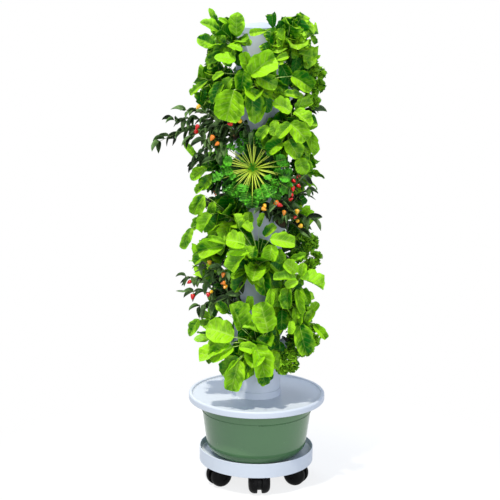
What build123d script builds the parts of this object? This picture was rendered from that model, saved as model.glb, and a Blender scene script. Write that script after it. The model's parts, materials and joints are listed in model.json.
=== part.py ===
from build123d import *
import os
from math import cos, radians, sin, sqrt

# Hydroponic tower: a stack of planted sections on a lidded water tub, on a round dolly with casters.
# Millimetres, +Z up, origin on the floor below the column's axis, front towards -Y.
# Angles round the column are counted from the front towards +X.

# Clearances
running_clearance = 0.05  # turning pin in its bore, radial
push_clearance = 0.02  # pushed-in pin in its bore, radial
slip_clearance = 0.4  # pieces that plug or lift by hand, radial
seat_gap = 0.3  # between faces that slide on each other
edge_clearance = 1.0  # lid ring inside the tub's mouth, radial
edge_share = 0.4  # rounding of a free edge, as a share of the thickness there

# Casters
caster_count = 6
caster_first_angle = 4.0
caster_ring_radius = 170.0
caster_trail = 20.0
wheel_radius = 47.0
wheel_width = 35.0
wheel_shoulder = 25.0
wheel_edge = 2.0
wheel_dish_radius = 14.0
wheel_dish_depth = 2.0
wheel_gap = 0.8
axle_radius = 4.0
axle_cover = 8.0
yoke_width = 18.0
yoke_hub_radius = 33.0
yoke_neck_radius = 12.0
yoke_flange_radius = 16.0
yoke_flange_height = 5.0
wheel_top_gap = 2.5
stem_radius = 5.5
stem_in_yoke = 24.0
stem_in_dolly = 12.0

# Dolly
dolly_radius = 244.0
dolly_wall = 4.0
dolly_floor = 4.0
dolly_height = 61.0
dolly_skirt = 29.0
dolly_floor_rounding = 8.0
dolly_boss_radius = 15.0
dolly_boss_height = 11.0
dolly_rib_thickness = 3.0
dolly_rib_height = 9.0
dolly_ring_radius = 62.0

# Water tub
tub_height = 256.0
tub_base_radius = 208.0
tub_mouth_radius = 241.0
tub_corner = 62.0
tub_wall = 3.5
tub_flange_radius = 278.0
tub_bead_drop = 66.0
tub_bead_radius = 2.5

# Lid
lid_radius = 290.0
lid_plate = 4.0
lid_rim_width = 15.0
lid_rim_rise = 8.0
lid_rim_height = 29.0
lid_skirt_wall = 8.0
lid_ring_depth = 18.0
lid_ring_wall = 3.0
lid_rib_count = 8
lid_rib_thickness = 3.0
lid_rib_height = 12.0

# Filling port, its cover and the cord outlet, behind the column
port_radius = 35.0
port_distance = 190.0
port_neck_wall = 3.0
port_neck_depth = 20.0
cover_overlap = 6.0
cover_thickness = 3.0
cover_lobe_radius = 10.0
cover_pivot_offset = 50.0
cover_knob_radius = 9.0
cover_knob_waist = 7.2
cover_knob_height = 12.0
pivot_radius = 3.0
pivot_head_radius = 7.0
pivot_head_height = 3.0
pivot_boss_radius = 8.0
pivot_boss_depth = 10.0
outlet_distance = 215.0
outlet_angle = 196.8
outlet_bore = 4.2
outlet_neck_radius = 7.0
outlet_flange_radius = 10.0
outlet_flange_height = 3.0

# Column
column_radius = 99.0
column_wall = 3.0
collar_radius = 103.0
collar_height = 28.0
collar_plug_depth = 14.0
spigot_height = 12.0
spigot_shoulder = 6.0
spigot_taper = 8.0
base_tube_height = 64.0
section_count = 8
section_pitch = 178.0
ports_per_section = 4

# Planting pods
pod_tilt = 45.0
pod_height = 100.0
pod_length = 46.0
pod_root_depth = 25.0
pod_root_radius = 22.0
pod_mouth_radius = 33.0
pod_wall = 2.5
pod_lip_radius = 36.0
pod_lip_height = 4.0

# Net cups and growing plugs
cup_rim_radius = 34.5
cup_rim_height = 2.0
cup_depth = 56.0
cup_wall = 1.6
cup_slot_width = 5.0
cup_slot_count = 6
cup_slot_margin = 9.0
plug_recess = 5.0
plug_length = 46.0

# Top of the column
distributor_floor = 2.0
distributor_wall = 2.0
distributor_flange = 2.5
distributor_socket_wall = 2.7
distributor_socket_depth = 22.0
distributor_lip = 4.0
drip_hole_radius = 1.75
drip_hole_count = 24
drip_ring_radius = 62.0
cap_radius = 100.5
cap_height = 43.0
cap_dome = 21.0
cap_wall = 2.5

# Pump and riser
riser_radius = 10.0
riser_wall = 2.2
pump_length = 84.0
pump_width = 58.0
pump_height = 60.0
pump_corner = 12.0
pump_top_rounding = 5.0
chamber_radius = 23.0
chamber_depth = 20.0
nozzle_radius = 9.0
nozzle_bore = 6.0
nozzle_height = 18.0
adapter_wall = 4.0
adapter_grip = 14.0
adapter_shoulder = 3.0
foot_height = 6.0
foot_radius = 9.0
foot_inset = 14.0
strainer_thickness = 6.0
strainer_slot = 3.0
strainer_slot_count = 9
strainer_margin = 5.0
impeller_radius = 20.0
impeller_hub_radius = 6.0
impeller_width = 13.0
impeller_blades = 6
blade_thickness = 2.0
shaft_radius = 1.6
shaft_seat = 8.0

# Plants
stalk_radius = 9.0
stalk_height = 13.0
stalk_sides = 8
foliage_offset = 50.0
foliage_clearance = 2.0
golden_angle = 137.5
row_phase = 41.0
least_outward = 0.22
leaf_fold = 0.22
leaf_arch = 0.45
leaf_bend = 0.55
pepper_branches = 3
pepper_first_lean = 30.0
pepper_lean_step = 22.0
pepper_turn = 120.0
pepper_share = 0.8
pepper_arch = 0.22
pepper_leaf_length = 80.0
pepper_leaf_half_width = 17.0
pepper_leaf_arch = 6.0
pepper_leaf_lean = 75.0
pepper_leaf_turn = 75.0
pepper_leaf_pair = 165.0
pepper_leaf_forward = 0.7
pepper_long_reach = 318.0
long_branch_port = (5, 3)
long_branch_aim = Vector(0.72, -0.69, 0.02)
stem_taper = ((0, 3.2), (0.3, 3.0), (0.55, 2.6), (0.8, 2.2))
fruit_length = 26.0
fruit_profile = ((0, 3.0), (0.25, 8.0), (0.65, 6.0))
fruit_shares = (0.4, 0.68, 0.5, 0.24)
fruit_drops = (1.0, 1.2, 1.4)
fruits_per_branch = 2
tuft_radius = 27.0
tuft_share = 0.97
tuft_count = 9
tuft_first_lean = 14.0
tuft_lean_span = 78.0
flatness = 1e-6
off_axis = Vector(0.3, 0.5, 0.1)  # a direction that no stem follows

# Planting plan, from the lowest row up; the odd rows start at the front, the even ones at 45 degrees
planting = (
    ("pak_choi", "parsley", "lettuce", "basil"),
    ("pak_choi", "basil", "lettuce", "chili"),
    ("pak_choi", "parsley", "tatsoi", "lettuce"),
    ("chili", "pak_choi", "chili", "pak_choi"),
    ("tatsoi", "basil", "pak_choi", "basil"),
    ("pak_choi", "chili", "basil", "chili"),
    ("pak_choi", "parsley", "tatsoi", "lettuce"),
    ("lettuce", "basil", "parsley", "basil"),
)

# Levels worked out from the floor up
caster_seat = 2 * wheel_radius + wheel_top_gap + yoke_flange_height
boss_bottom = caster_seat + seat_gap
dolly_underside = boss_bottom + dolly_boss_height
dolly_top_face = dolly_underside + dolly_floor
skirt_bottom = dolly_underside - dolly_skirt
dolly_rim = skirt_bottom + dolly_height
tub_bottom = dolly_top_face
tub_top = tub_bottom + tub_height
tub_floor = tub_bottom + tub_wall
lid_top = tub_top + lid_plate
collar_top = lid_top + collar_height
sections_bottom = collar_top + base_tube_height
column_top = sections_bottom + section_count * section_pitch
cap_top = column_top + cap_height
pump_bottom = tub_floor + foot_height
pump_top = pump_bottom + pump_height
nozzle_top = pump_top + nozzle_height
riser_bottom = nozzle_top + adapter_shoulder
distributor_seat = column_top + spigot_height
distributor_bottom = column_top - distributor_floor
riser_top = distributor_bottom + distributor_floor + distributor_lip

# Radii shared by pieces that plug together
column_bore = column_radius - column_wall
spigot_radius = column_bore - slip_clearance
spigot_bore = spigot_radius - column_wall
lid_hole = spigot_radius + slip_clearance


def turned(*corners):
    """Solid turned about Z from corners given as (radius, height) or (radius, height, rounding)."""
    points = [corner[:2] for corner in corners]
    rounding = [corner[2] if len(corner) > 2 else 0 for corner in corners]
    outline = FilletPolyline(*points, radius=rounding, close=True)
    return revolve(Plane.XZ * make_face(outline), Axis.Z)


def round_bar(radius, bottom, top):
    """Upright cylinder between two heights."""
    return Pos(0, 0, bottom) * Cylinder(radius, top - bottom, align=(Align.CENTER, Align.CENTER, Align.MIN))


def ring_place(angle, radius):
    """Point at an angle from the front towards +X."""
    turn = radians(angle)
    return Vector(radius * sin(turn), -radius * cos(turn), 0)


def outward(angle, radius=0.0, height=0.0):
    """Location on the ring whose X axis points away from the column."""
    spot = ring_place(angle, radius)
    return Location((spot.X, spot.Y, height), (0, 0, angle - 90))


def save(node, *solids):
    """Write one node as a solid or as a group of separate solids."""
    pieces = [solid for shape in solids for solid in shape.solids()]
    export_step(Compound(pieces) if len(pieces) > 1 else pieces[0], os.path.join("parts", node + ".step"))


# Casters: a twin-wheel set trailing its swivel stem, drawn with the trail along +X

def make_wheel():
    """Domed wheel with its inner face at height 0."""
    bore = axle_radius + push_clearance
    return turned(
        (bore, 0),
        (wheel_radius, 0, wheel_edge),
        (wheel_radius, wheel_width, wheel_shoulder),
        (wheel_dish_radius, wheel_width),
        (wheel_dish_radius, wheel_width - wheel_dish_depth),
        (0, wheel_width - wheel_dish_depth),
        (0, wheel_width - axle_cover),
        (bore, wheel_width - axle_cover),
    )


def make_yoke():
    """Centre plate between the wheels, with the swivel flange above them."""
    hub = Pos(caster_trail, wheel_radius) * Circle(yoke_hub_radius)
    neck = Pos(0, caster_seat - yoke_flange_height - yoke_neck_radius) * Circle(yoke_neck_radius)
    plate = extrude(Plane.XZ * make_hull([*hub.edges(), *neck.edges()]), yoke_width / 2, both=True)
    plate += round_bar(yoke_neck_radius - wheel_edge, caster_seat - stem_in_yoke, caster_seat)
    plate &= round_bar(2 * wheel_radius, 0, caster_seat)
    side = Pos(0, 0, wheel_radius) * Box(4 * wheel_radius, yoke_width, 4 * wheel_radius)
    plate &= side
    plate += round_bar(yoke_flange_radius, caster_seat - yoke_flange_height, caster_seat)
    axle_bore = Cylinder(axle_radius + running_clearance, 2 * yoke_width, rotation=(90, 0, 0))
    plate -= Pos(caster_trail, 0, wheel_radius) * axle_bore
    plate -= round_bar(stem_radius + push_clearance, caster_seat - stem_in_yoke, caster_seat)
    return plate


def make_casters():
    """Six casters round the dolly, each with its own yoke, stem, axle and pair of wheels."""
    wheel = make_wheel()
    inner_face = yoke_width / 2 + wheel_gap
    axle_half = inner_face + wheel_width - axle_cover
    centre = Pos(caster_trail, 0, wheel_radius)
    axle = centre * Cylinder(axle_radius, 2 * axle_half, rotation=(90, 0, 0))
    right = centre * Pos(0, inner_face, 0) * Rot(-90, 0, 0) * wheel
    left = centre * Pos(0, -inner_face, 0) * Rot(90, 0, 0) * wheel
    yoke = make_yoke()
    stem = round_bar(stem_radius, caster_seat - stem_in_yoke, caster_seat + stem_in_dolly)
    for number in range(caster_count):
        place = outward(caster_first_angle + number * 360 / caster_count, caster_ring_radius)
        save(f"caster_yoke_{number + 1}", place * yoke)
        save(f"caster_stem_{number + 1}", place * stem)
        save(f"caster_axle_{number + 1}", place * axle)
        save(f"caster_wheels_{number + 1}", place * right, place * left)


# Base: dolly, tub and lid

def make_dolly():
    """Round tray with a hanging skirt, ribs and caster bosses below its floor."""
    inside = dolly_radius - dolly_wall
    edge = edge_share * dolly_wall
    tray = turned(
        (0, dolly_underside),
        (inside, dolly_underside),
        (inside, skirt_bottom, edge),
        (dolly_radius, skirt_bottom, edge),
        (dolly_radius, dolly_rim, edge),
        (inside, dolly_rim, edge),
        (inside, dolly_top_face, dolly_floor_rounding),
        (0, dolly_top_face),
    )
    rib_bottom = dolly_underside - dolly_rib_height
    tray += turned(
        (dolly_ring_radius, rib_bottom),
        (dolly_ring_radius + dolly_rib_thickness, rib_bottom),
        (dolly_ring_radius + dolly_rib_thickness, dolly_underside),
        (dolly_ring_radius, dolly_underside),
    )
    rib_length = inside + edge - dolly_ring_radius
    rib = Box(rib_length, dolly_rib_thickness, dolly_rib_height, align=(Align.MIN, Align.CENTER, Align.MIN))
    for number in range(2 * caster_count):
        tray += outward(caster_first_angle + number * 180 / caster_count, dolly_ring_radius, rib_bottom) * rib
    boss = round_bar(dolly_boss_radius, boss_bottom, dolly_underside)
    socket = round_bar(stem_radius + running_clearance, boss_bottom, caster_seat + stem_in_dolly + seat_gap)
    for number in range(caster_count):
        place = outward(caster_first_angle + number * 360 / caster_count, caster_ring_radius)
        tray += place * boss
        tray -= place * socket
    return tray


def tub_radius(height):
    """Outer radius of the tub's tapered wall at a height above its base."""
    return tub_base_radius + (tub_mouth_radius - tub_base_radius) * height / tub_height


def make_tub():
    """Tapered bowl with a rounded foot, a moulded bead and a flange that carries the lid."""
    bead = tub_height - tub_bead_drop
    flange_bottom = tub_top - tub_wall
    tub = turned(
        (0, tub_bottom),
        (tub_base_radius, tub_bottom, tub_corner),
        (tub_radius(tub_height - tub_wall), flange_bottom),
        (tub_flange_radius, flange_bottom, edge_share * tub_wall),
        (tub_flange_radius, tub_top, edge_share * tub_wall),
        (tub_mouth_radius - tub_wall, tub_top),
        (tub_base_radius - tub_wall, tub_floor, tub_corner - tub_wall),
        (0, tub_floor),
    )
    ring = Pos(tub_radius(bead), tub_bottom + bead) * Circle(tub_bead_radius)
    inside = round_bar(tub_radius(bead) - tub_wall / 2, tub_bottom, tub_top)
    return tub + (revolve(Plane.XZ * ring, Axis.Z) - inside)


def make_lid():
    """Round lid with a rolled rim, a ring inside the tub's mouth, the filling port and the cord hole."""
    rim_top = lid_top + lid_rim_rise
    rim_bottom = rim_top - lid_rim_height
    rim_inside = lid_radius - lid_rim_width
    skirt_inside = lid_radius - lid_skirt_wall
    lid = turned(
        (lid_hole, tub_top),
        (lid_hole, lid_top),
        (rim_inside, lid_top, edge_share * lid_rim_rise),
        (rim_inside, rim_top, edge_share * lid_rim_rise),
        (lid_radius, rim_top, lid_rim_rise),
        (lid_radius, rim_bottom, edge_share * lid_skirt_wall),
        (skirt_inside, rim_bottom, edge_share * lid_skirt_wall),
        (skirt_inside, tub_top),
    )
    ring_radius = tub_radius(tub_height - lid_ring_depth) - tub_wall - edge_clearance
    lid += turned(
        (ring_radius - lid_ring_wall, tub_top - lid_ring_depth),
        (ring_radius, tub_top - lid_ring_depth),
        (ring_radius, tub_top),
        (ring_radius - lid_ring_wall, tub_top),
    )
    rib_length = ring_radius - lid_ring_wall / 2 - collar_radius
    rib = Box(rib_length, lid_rib_thickness, lid_rib_height, align=(Align.MIN, Align.CENTER, Align.MAX))
    for number in range(lid_rib_count):
        lid += outward((number + 0.5) * 360 / lid_rib_count, collar_radius, tub_top) * rib
    port = Pos(0, port_distance, 0)
    lid += port * round_bar(port_radius + port_neck_wall, tub_top - port_neck_depth, tub_top)
    lid -= port * round_bar(port_radius, tub_top - port_neck_depth, lid_top)
    pivot = Pos(cover_pivot_offset, port_distance, 0)
    lid += pivot * round_bar(pivot_boss_radius, tub_top - pivot_boss_depth, tub_top)
    lid -= pivot * round_bar(pivot_radius + push_clearance, tub_top - pivot_boss_depth, lid_top)
    outlet = Pos(*ring_place(outlet_angle, outlet_distance))
    lid -= outlet * round_bar(outlet_neck_radius + push_clearance, tub_top, lid_top)
    return lid


def make_port_cover():
    """Flat cover that turns aside on its pivot, with a round knob."""
    bottom = lid_top + seat_gap
    disc = Pos(0, port_distance) * Circle(port_radius + cover_overlap)
    lobe = Pos(cover_pivot_offset, port_distance) * Circle(cover_lobe_radius)
    plate = Pos(0, 0, bottom) * extrude(make_hull([*disc.edges(), *lobe.edges()]), cover_thickness)
    knob_bottom = bottom + cover_thickness
    knob = turned(
        (0, knob_bottom - cover_thickness / 2),
        (cover_knob_waist, knob_bottom - cover_thickness / 2),
        (cover_knob_radius, knob_bottom + cover_knob_height, edge_share * cover_knob_radius),
        (0, knob_bottom + cover_knob_height),
    )
    plate += Pos(0, port_distance, 0) * knob
    bore = round_bar(pivot_radius + running_clearance, bottom, knob_bottom)
    return plate - Pos(cover_pivot_offset, port_distance, 0) * bore


def make_port_pivot():
    """Shoulder pin that holds the cover down."""
    head_bottom = lid_top + cover_thickness + 2 * seat_gap
    head_top = head_bottom + pivot_head_height
    pin = turned(
        (0, tub_top - pivot_boss_depth),
        (pivot_radius, tub_top - pivot_boss_depth),
        (pivot_radius, head_bottom),
        (pivot_head_radius, head_bottom),
        (pivot_head_radius, head_top, edge_share * pivot_head_height),
        (0, head_top),
    )
    return Pos(cover_pivot_offset, port_distance, 0) * pin


def make_cord_outlet():
    """Rubber bush that lines the cord hole, with a flange above and below the lid."""
    flange_top = lid_top + outlet_flange_height
    flange_bottom = tub_top - outlet_flange_height
    bush = turned(
        (outlet_bore, flange_bottom),
        (outlet_flange_radius, flange_bottom, edge_share * outlet_flange_height),
        (outlet_flange_radius, tub_top),
        (outlet_neck_radius, tub_top),
        (outlet_neck_radius, lid_top),
        (outlet_flange_radius, lid_top),
        (outlet_flange_radius, flange_top, edge_share * outlet_flange_height),
        (outlet_bore, flange_top),
    )
    return Pos(*ring_place(outlet_angle, outlet_distance)) * bush


# Column: collar, base tube and planted sections

def make_collar():
    """Ring that plugs into the lid and carries the column."""
    return turned(
        (spigot_bore, lid_top - collar_plug_depth),
        (spigot_radius, lid_top - collar_plug_depth),
        (spigot_radius, lid_top),
        (collar_radius, lid_top),
        (collar_radius, collar_top, edge_share * column_wall),
        (spigot_radius, collar_top),
        (spigot_radius, collar_top + spigot_height),
        (spigot_bore, collar_top + spigot_height),
    )


def make_tube(height):
    """Column tube from height 0, with the spigot that the next one sits on."""
    return turned(
        (column_bore, 0),
        (column_radius, 0),
        (column_radius, height),
        (spigot_radius, height),
        (spigot_radius, height + spigot_height),
        (spigot_bore, height + spigot_height),
        (spigot_bore, height - spigot_shoulder),
        (column_bore, height - spigot_shoulder - spigot_taper),
    )


def pod_place(angle):
    """Pod axis: its Z runs from the column's wall out of the mouth, its X points up the wall."""
    tilt = radians(pod_tilt)
    frame = Plane((column_radius, 0, pod_height), (-sin(tilt), 0, cos(tilt)), (cos(tilt), 0, sin(tilt)))
    return outward(angle) * frame.location


def pod_cone(inset):
    """Tapered pod body, thinner by inset."""
    length = pod_root_depth + pod_length
    cone = Cone(
        pod_root_radius - inset,
        pod_mouth_radius - inset,
        length,
        align=(Align.CENTER, Align.CENTER, Align.MIN),
    )
    return Pos(0, 0, -pod_root_depth) * cone


def make_section():
    """Column section with four angled pods that open into it."""
    lip = round_bar(pod_lip_radius, pod_length - pod_lip_height, pod_length)
    pod = pod_cone(0) + lip
    inside = round_bar(column_bore, -section_pitch, 2 * section_pitch)
    section = make_tube(section_pitch)
    places = [pod_place(number * 360 / ports_per_section) for number in range(ports_per_section)]
    for place in places:
        section += place * pod - inside
    for place in places:
        section -= place * pod_cone(pod_wall)
    return section


def cup_radius(depth):
    """Outer radius of a net cup below its rim, following the pod's taper."""
    taper = (pod_mouth_radius - pod_root_radius) / (pod_root_depth + pod_length)
    return pod_mouth_radius - pod_wall - slip_clearance - taper * depth


def make_cup():
    """Net cup hanging below height 0 by its rim, with slots down its wall."""
    inner_depth = cup_depth - cup_wall
    cup = turned(
        (0, -cup_depth),
        (cup_radius(cup_depth), -cup_depth),
        (cup_radius(0), 0),
        (cup_rim_radius, 0),
        (cup_rim_radius, cup_rim_height),
        (cup_radius(0) - cup_wall, cup_rim_height),
        (cup_radius(inner_depth) - cup_wall, -inner_depth),
        (0, -inner_depth),
    )
    slot_height = cup_depth - 2 * cup_slot_margin
    slot = Box(2 * pod_mouth_radius, cup_slot_width, slot_height)
    for number in range(cup_slot_count // 2):
        cup -= Pos(0, 0, -cup_depth / 2) * Rot(0, 0, number * 360 / cup_slot_count) * slot
    return cup


def make_plug():
    """Growing plug inside a net cup, below its rim."""
    top_radius = cup_radius(plug_recess) - cup_wall - slip_clearance
    low_radius = cup_radius(plug_recess + plug_length) - cup_wall - slip_clearance
    plug = Cone(low_radius, top_radius, plug_length, align=(Align.CENTER, Align.CENTER, Align.MAX))
    return Pos(0, 0, -plug_recess) * plug


def ports():
    """Every planting port: its row, its number in the row and its angle."""
    step = 360 / ports_per_section
    for row in range(section_count):
        for number in range(ports_per_section):
            yield row, number, (row % 2) * step / 2 + number * step


# Top of the column

def make_distributor():
    """Dish on the top spigot: the riser fills it and its holes let the water down."""
    outside = spigot_bore - slip_clearance
    socket = riser_radius + running_clearance
    boss = socket + distributor_socket_wall
    dish = turned(
        (socket, distributor_bottom - distributor_socket_depth),
        (boss, distributor_bottom - distributor_socket_depth),
        (boss, distributor_bottom),
        (outside, distributor_bottom),
        (outside, distributor_seat),
        (spigot_radius, distributor_seat),
        (spigot_radius, distributor_seat + distributor_flange),
        (outside - distributor_wall, distributor_seat + distributor_flange),
        (outside - distributor_wall, column_top),
        (boss, column_top),
        (boss, riser_top),
        (socket, riser_top),
    )
    hole = round_bar(drip_hole_radius, distributor_bottom, column_top)
    for number in range(drip_hole_count):
        dish -= Pos(*ring_place(number * 360 / drip_hole_count, drip_ring_radius)) * hole
    return dish


def make_cap():
    """Domed cap over the top spigot."""
    inside = cap_radius - cap_wall
    outer_edge = cap_top - cap_dome
    inner_top = cap_top - cap_wall
    inner_edge = outer_edge - cap_wall
    outline = (
        Line((0, inner_top), (0, cap_top)),
        TangentArc((0, cap_top), (cap_radius, outer_edge), tangent=(1, 0)),
        Line((cap_radius, outer_edge), (cap_radius, column_top)),
        Line((cap_radius, column_top), (inside, column_top)),
        Line((inside, column_top), (inside, inner_edge)),
        TangentArc((0, inner_top), (inside, inner_edge), tangent=(1, 0)),
    )
    return revolve(Plane.XZ * make_face(outline), Axis.Z)


# Pump in the tub, with its outlet on the column's axis

chamber_back = chamber_depth / 2
pump_front = -chamber_depth / 2
pump_middle = pump_front + pump_width / 2
impeller_height = pump_bottom + pump_height / 2


def lying_bar(radius, front, back):
    """Cylinder along Y at the impeller's height."""
    bar = Cylinder(radius, back - front, rotation=(-90, 0, 0))
    return Pos(0, (front + back) / 2, impeller_height) * bar


def make_pump_housing():
    """Pump body with the impeller chamber at its front and the outlet nozzle on top."""
    block = extrude(RectangleRounded(pump_length, pump_width, pump_corner), pump_height)
    block = fillet(block.faces().sort_by(Axis.Z)[-1].edges(), pump_top_rounding)
    housing = Pos(0, pump_middle, pump_bottom) * block
    housing += round_bar(nozzle_radius, pump_top - pump_top_rounding, nozzle_top)
    housing -= lying_bar(chamber_radius, pump_front, chamber_back)
    housing -= round_bar(nozzle_bore, impeller_height, nozzle_top)
    return housing - lying_bar(shaft_radius + push_clearance, chamber_back, chamber_back + shaft_seat)


def make_strainer():
    """Slotted front plate over the impeller chamber."""
    height = pump_height - 2 * pump_top_rounding
    width = pump_length - 2 * pump_corner
    plate = extrude(RectangleRounded(width, height, strainer_margin), strainer_thickness)
    pitch = (width - 2 * strainer_margin) / strainer_slot_count
    slot = Box(strainer_slot, height - 4 * strainer_margin, 3 * strainer_thickness)
    for number in range(strainer_slot_count):
        plate -= Pos((number - (strainer_slot_count - 1) / 2) * pitch, 0, 0) * slot
    face = Plane((0, pump_front, impeller_height), (1, 0, 0), (0, -1, 0))
    return face.location * plate


def make_impeller():
    """Bladed rotor that runs on the fixed shaft."""
    front = -impeller_width / 2
    back = impeller_width / 2
    rotor = lying_bar(impeller_hub_radius, front, back)
    from_axis = (Align.MIN, Align.CENTER, Align.CENTER)
    blade = Box(impeller_radius, impeller_width, blade_thickness, align=from_axis)
    for number in range(impeller_blades):
        rotor += Pos(0, 0, impeller_height) * Rot(0, number * 360 / impeller_blades, 0) * blade
    rotor &= lying_bar(impeller_radius, front, back)
    return rotor - lying_bar(shaft_radius + running_clearance, front, back)


def make_pump_feet():
    """Four suction feet under the pump."""
    foot = turned(
        (0, tub_floor),
        (foot_radius, tub_floor),
        (foot_radius / 2, pump_bottom),
        (0, pump_bottom),
    )
    along = pump_length / 2 - foot_inset
    across = pump_width / 2 - foot_inset
    return [Pos(x, pump_middle + y, 0) * foot for x in (-along, along) for y in (-across, across)]


def make_adapter():
    """Sleeve that joins the pump's nozzle to the riser."""
    outside = riser_radius + push_clearance + adapter_wall
    grip = nozzle_radius + push_clearance
    hold = riser_radius + push_clearance
    return turned(
        (grip, nozzle_top - adapter_grip),
        (outside, nozzle_top - adapter_grip),
        (outside, riser_bottom + adapter_grip, edge_share * adapter_wall),
        (hold, riser_bottom + adapter_grip),
        (hold, riser_bottom),
        (nozzle_bore, riser_bottom),
        (nozzle_bore, nozzle_top),
        (grip, nozzle_top),
    )


def make_riser():
    """Pipe from the pump to the distributor."""
    return round_bar(riser_radius, riser_bottom, riser_top) - round_bar(
        riser_radius - riser_wall, riser_bottom, riser_top
    )


# Plants: drawn from a crown at the origin, X away from the column, Z up

tilt = radians(pod_tilt)
growth = Vector(cos(tilt), 0, sin(tilt))
up_wall = Vector(-sin(tilt), 0, cos(tilt))
sideways = Vector(0, 1, 0)
crown_along = pod_length - plug_recess + stalk_height
crown_distance = column_radius + crown_along * cos(tilt)
crown_height = pod_height + crown_along * sin(tilt)
half_step = radians(180 / ports_per_section) / 2
neighbour = 2 * (crown_distance + foliage_offset) * sin(half_step)
foliage_radius = sqrt(section_pitch**2 + neighbour**2) / 2 - foliage_clearance

# Leaf outlines: share of the length, share of the half width, rib height as a share of the width there
spoon = ((0, 0.13, 0.5), (0.42, 0.13, 0.5), (0.7, 1.0, 0.05), (0.9, 0.75, 0.05))
broad = ((0, 0.2, 0.3), (0.3, 0.6, 0.06), (0.65, 1.0, 0.06), (0.92, 0.7, 0.06))
oval = ((0, 0.12, 0.5), (0.25, 0.12, 0.5), (0.55, 1.0, 0.06), (0.85, 0.6, 0.06))
paddle = ((0, 0.13, 0.5), (0.56, 0.13, 0.5), (0.78, 1.0, 0.07), (0.94, 0.75, 0.07))
narrow = ((0, 0.2, 0.4), (0.45, 1.0, 0.12))

# Rosette plants: leaves, lean of the first and last leaf, share of the reach, half width and outline
rosettes = {
    "pak_choi": (9, 24, 95, 0.97, 43, spoon),
    "lettuce": (9, 20, 95, 0.95, 46, broad),
    "basil": (10, 18, 95, 0.93, 34, oval),
    "tatsoi": (12, 22, 95, 0.98, 26, paddle),
}


def reach(direction):
    """Distance from the crown to the edge of the plant's own space."""
    ahead = direction.X * foliage_offset
    return ahead + sqrt(ahead**2 + foliage_radius**2 - foliage_offset**2)


def direction_of(lean, around):
    """Unit direction at a lean from the growth axis, kept off the column's wall."""
    side = up_wall * cos(radians(around)) + sideways * sin(radians(around))
    aim = growth * cos(radians(lean)) + side * sin(radians(lean))
    return Vector(max(aim.X, least_outward), aim.Y, aim.Z).normalized()


def bent(base, bend, tip, share):
    """Point at a share of the bend from base to tip."""
    return base * (1 - share) ** 2 + bend * (2 * share * (1 - share)) + tip * share**2


def closed_solid(faces):
    """Solid inside a closed set of flat faces."""
    return Solid(Shell([Face(Wire.make_polygon(face)) for face in faces]))


def flat_faces(one, two, three, four):
    """One four-sided face where the corners lie in a plane, or else two triangles."""
    normal = (two - one).cross(three - one).normalized()
    if abs(normal.dot(four - one)) < flatness:
        return [(one, two, three, four)]
    return [(one, two, three), (one, three, four)]


def faceted(rings, tip):
    """Closed solid over four-cornered rings that ends in a point."""
    faces = flat_faces(*reversed(rings[0]))
    for low, high in zip(rings, rings[1:]):
        for side in range(4):
            after = (side + 1) % 4
            faces += flat_faces(low[side], low[after], high[after], high[side])
    faces += [(rings[-1][side], rings[-1][(side + 1) % 4], tip) for side in range(4)]
    return closed_solid(faces)


def leaf(base, bend, tip, half_width, outline):
    """Folded leaf along a rib that bends from base to tip."""
    along = (tip - base).normalized()
    side = along.cross(growth).normalized()
    upper = side.cross(along)
    rings = []
    for share, width, rise in outline:
        rib = bent(base, bend, tip, share)
        edge = side * (half_width * width)
        fold = upper * (leaf_fold * half_width * width)
        crest = upper * (rise * half_width * width)
        rings.append((rib - edge + fold, rib + crest, rib + edge + fold, rib - crest))
    return faceted(rings, tip)


def spindle(base, bend, tip, profile):
    """Four-sided stem or pod along a bend; profile is (share of the length, radius)."""
    along = (tip - base).normalized()
    side = along.cross(off_axis).normalized()
    upper = side.cross(along)
    rings = []
    for share, radius in profile:
        point = bent(base, bend, tip, share)
        across = side * radius
        above = upper * radius
        rings.append((point - across, point + above, point + across, point - above))
    return faceted(rings, tip)


def make_stalk():
    """Short stalk from the growing plug up to the crown."""
    root = Plane(growth * (seat_gap - stalk_height), (0, 1, 0), growth)
    return root.location * extrude(RegularPolygon(stalk_radius, stalk_sides), stalk_height)


def make_rosette(kind, phase, way):
    """Rosette of arching leaves, the outer ones leaning most."""
    count, first_lean, last_lean, share, half_width, outline = rosettes[kind]
    leaves = []
    for number in range(count):
        lean = first_lean + (last_lean - first_lean) * number / (count - 1)
        aim = direction_of(lean, phase + way * number * golden_angle)
        length = share * reach(aim)
        bend = (aim + growth * leaf_arch).normalized() * (leaf_bend * length)
        leaves.append(leaf(Vector(0, 0, 0), bend, aim * length, half_width, outline))
    return make_stalk() + leaves


def tuft(centre):
    """Curly clump as a ball of twenty triangles."""
    ratio = (1 + sqrt(5)) / 2
    unit = tuft_radius / sqrt(1 + ratio**2)
    long, short = ratio * unit, unit
    points = [
        centre + Vector(*spot)
        for a in (-short, short)
        for b in (-long, long)
        for spot in ((0, a, b), (a, b, 0), (b, 0, a))
    ]
    near = 2 * short * 1.01
    triangles = []
    for one in range(12):
        for two in range(one + 1, 12):
            for three in range(two + 1, 12):
                corners = [points[one], points[two], points[three]]
                sides = [(corners[n] - corners[n - 1]).length for n in range(3)]
                if max(sides) > near:
                    continue
                facing = (corners[1] - corners[0]).cross(corners[2] - corners[0])
                if facing.dot(corners[0] - centre) < 0:
                    corners.reverse()
                triangles.append(tuple(corners))
    return closed_solid(triangles)


def make_parsley(phase, way):
    """Curly tufts on short stems."""
    pieces = []
    for number in range(tuft_count):
        lean = tuft_first_lean + tuft_lean_span * number / (tuft_count - 1)
        aim = direction_of(lean, phase + way * number * golden_angle)
        tip = aim * (tuft_share * reach(aim) - tuft_radius)
        pieces.append(spindle(Vector(0, 0, 0), tip / 2 + growth * stalk_radius, tip, stem_taper))
        pieces.append(tuft(tip))
    return make_stalk() + pieces


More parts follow.
